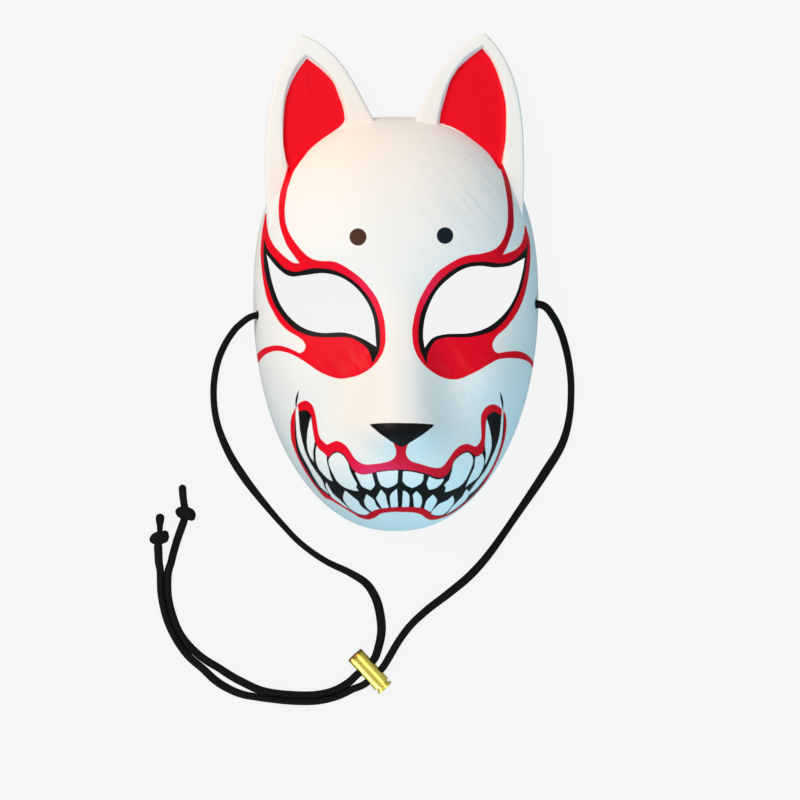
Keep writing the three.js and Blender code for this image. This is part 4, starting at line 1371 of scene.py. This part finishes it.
def brass():
    """Bright turned brass, dulled in streaks along its length, with painted shade darkening its closed end.
    """
    metal = Finish("toggle_brass_finish")
    from_end = metal.mapped(metal.places(), Location=(-TOGGLE_X * MM, -TOGGLE_Y * MM, 0))
    lengthways = metal.mapped(from_end, Rotation=(0, 0, -TOGGLE_TURN))
    along = metal.axis(lengthways, "X") * (1 / MM)
    drawn = metal.mapped(lengthways, Scale=(BRASS_DRAWN, 1, 1))
    streaks = metal.noise(drawn, BRASS_GRAIN, 3, STREAK_ROUGHNESS)
    wear = metal.noise(metal.places(), WEAR_GRAIN, 3)
    colour = metal.mix((streaks * STREAKS_DULL + wear * WEAR_DULLS - DULLED_LESS).held(), BRASS, BRASS_DULL)
    # Painted shade darkens the barrel's closed end
    end_shade = (1 - (along + wear - 0.5) / END_SHADE_LENGTH).held()
    metal.set(Base_Color=metal.mix(end_shade, colour, BRASS_END_SHADE), Metallic=BRASS_METALLIC,
              Roughness=BRASS_ROUGHNESS + WEAR_ROUGHER * wear, Normal=metal.bump(streaks, BRASS_BUMP))
    return metal.material


def painted_mask():
    """The mask's shell: the face with its ears, hollow behind, with the eye and cord holes."""
    front, edge, inside = face_paint(), eye_edge(), inside_coat()
    shell = face_solid("painted_mask", 0, FRONT_RINGS, FRONT_TURNS, 0, [front])
    ears = [ear_solid(f"ear_{side}", ear, [front]) for side, ear in EARS.items()]
    hollow = face_solid("hollow", SHELL_WALL, HOLLOW_RINGS, HOLLOW_TURNS, SHELL_WALL, [inside])
    holes = [eye_cutter(f"eye_{side}", lids, [edge]) for side, lids in EYES.items()]
    ways = [hole_cutter(f"cord_hole_{side}", side, [inside]) for side in HOLE_Y]
    carve(shell, joined=ears, cut=[hollow, *holes, *ways])
    shell.data.shade_smooth()
    shell.data.set_sharp_from_angle(angle=SHELL_SHARP_ANGLE)
    paint_fields(shell.data)
    return shell


def add_light(name, aim, lit, place, size, power, colour):
    """A square area light at a place, in metres, turned to its aim. Where pieces to be lit are
    given, it lights them alone."""
    data = bpy.data.lights.new(name, "AREA")
    data.size = size
    data.energy = power
    data.color = colour
    light = bpy.data.objects.new(name, data)
    light.location = place
    light.rotation_mode = "QUATERNION"
    light.rotation_quaternion = (Vector(aim) - Vector(place)).to_track_quat("-Z", "Y")
    bpy.context.scene.collection.objects.link(light)
    if lit:
        light.light_linking.receiver_collection = bpy.data.collections.new(f"{name}_lights")
        for piece in lit:
            light.light_linking.receiver_collection.objects.link(piece)


# Floor: how far it is below the mask, its half side, and the colours that it has by itself,
# shows to the camera and gives off to the rest
FLOOR_GAP = 0.2
FLOOR_REACH = 4000
FLOOR_ROUGHNESS = 0.9
FLOOR_BASE = (0.04, 0.04, 0.04, 1)
FLOOR_SEEN = (0.885, 0.885, 0.885, 1)
FLOOR_GLOW = (0.22, 0.27, 0.30, 1)

# Lights: places and sizes in metres, and powers in watts
FACE_AIM = (0, 0, 0.03)
FACE_LIGHTS = {
    "key": {"place": (-0.70, 0.66, 1.0), "size": 1.1, "power": 16.8, "colour": (1.0, 0.86, 0.75)},
    "fill": {"place": (0.8, -0.75, 0.45), "size": 1.0, "power": 6.0, "colour": (0.24, 0.75, 0.98)},
    "under": {"place": (-0.3, -1.15, 0.4), "size": 0.7, "power": 4.8, "colour": (0.38, 0.79, 1.0)},
}
TOGGLE_AIM = tuple(TOGGLE_START * MM)
TOGGLE_LIGHTS = {
    "over_toggle": {"place": (0.36, 0.15, 1.09), "size": 0.72, "power": 3.4, "colour": (1.0, 0.98, 0.92)},
    "below_toggle": {"place": (-0.86, -0.97, 0.34), "size": 0.8, "power": 9.5, "colour": (0.92, 0.96, 1.0)},
}
SKY_COLOUR = (0.82, 0.93, 1.0, 1)
SKY_STRENGTH = 0.42


def add_stage(toggle_pieces):
    """A pale floor that mostly glows by itself, soft lights, and two more for the toggle."""
    mesh = bpy.data.meshes.new("floor")
    signs = [(-1, -1), (1, -1), (1, 1), (-1, 1)]
    corners = [(x * FLOOR_REACH * MM, y * FLOOR_REACH * MM, -FLOOR_GAP * MM) for x, y in signs]
    mesh.from_pydata(corners, [], [(0, 1, 2, 3)])
    finish = Finish("floor")
    seen = finish.node("ShaderNodeLightPath", {}, {}, "Is Camera Ray")
    finish.set(Base_Color=FLOOR_BASE, Roughness=FLOOR_ROUGHNESS, Specular_IOR_Level=0.0,
               Emission_Color=finish.mix(seen, FLOOR_GLOW, FLOOR_SEEN), Emission_Strength=1.0)
    link("floor", mesh, [finish.material])
    world = bpy.data.worlds.new("studio")
    world.use_nodes = True
    sky = world.node_tree.nodes["Background"]
    sky.inputs["Color"].default_value = SKY_COLOUR
    sky.inputs["Strength"].default_value = SKY_STRENGTH
    bpy.context.scene.world = world
    for name, light in FACE_LIGHTS.items():
        add_light(name, FACE_AIM, [], **light)
    for name, light in TOGGLE_LIGHTS.items():
        add_light(name, TOGGLE_AIM, toggle_pieces, **light)
    bpy.context.scene.view_settings.view_transform = "Standard"


add_camera()
cord_finish = [braid()]
brass_finish = [brass()]
cords = {side: braided_cord(side, cord_finish) for side in CORD_WAYS}
stoppers = {side: inner_knot(side, cord_finish) for side in CORD_WAYS}
tails = {
    side: knot(f"tail_end_knot_{side}", TAIL_KNOT, CORD_WAYS[side][-2:], TAIL_ENDS[side],
               TAIL_WIDTHS[side], TAIL_SLANTS[side], cord_finish)
    for side in CORD_WAYS
}
mask = painted_mask()
barrel = toggle_barrel(brass_finish)
plunger = toggle_plunger(brass_finish)
for piece in (barrel, plunger):
    piece.data.set_sharp_from_angle(angle=TOGGLE_SHARP_ANGLE)
add_stage([barrel, plunger])

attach(mask, "mask")
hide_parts("mask_shell")
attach(barrel, "mask")
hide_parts("toggle_barrel")
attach(plunger, "plunger")
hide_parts("toggle_plunger")
for side, (piece, line) in cords.items():
    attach(piece, "mask")
    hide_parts(f"cord_{side}")
    for end, node in ((stoppers[side], f"inner_knot_{side}"), (tails[side], f"tail_knot_{side}")):
        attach(end, "mask")
        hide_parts(node)
    with_pieces = [stoppers[side], tails[side]] + ([barrel, plunger] if side == "left" else [])
    tuple(line[0] * MM)
    (line * MM).tolist()
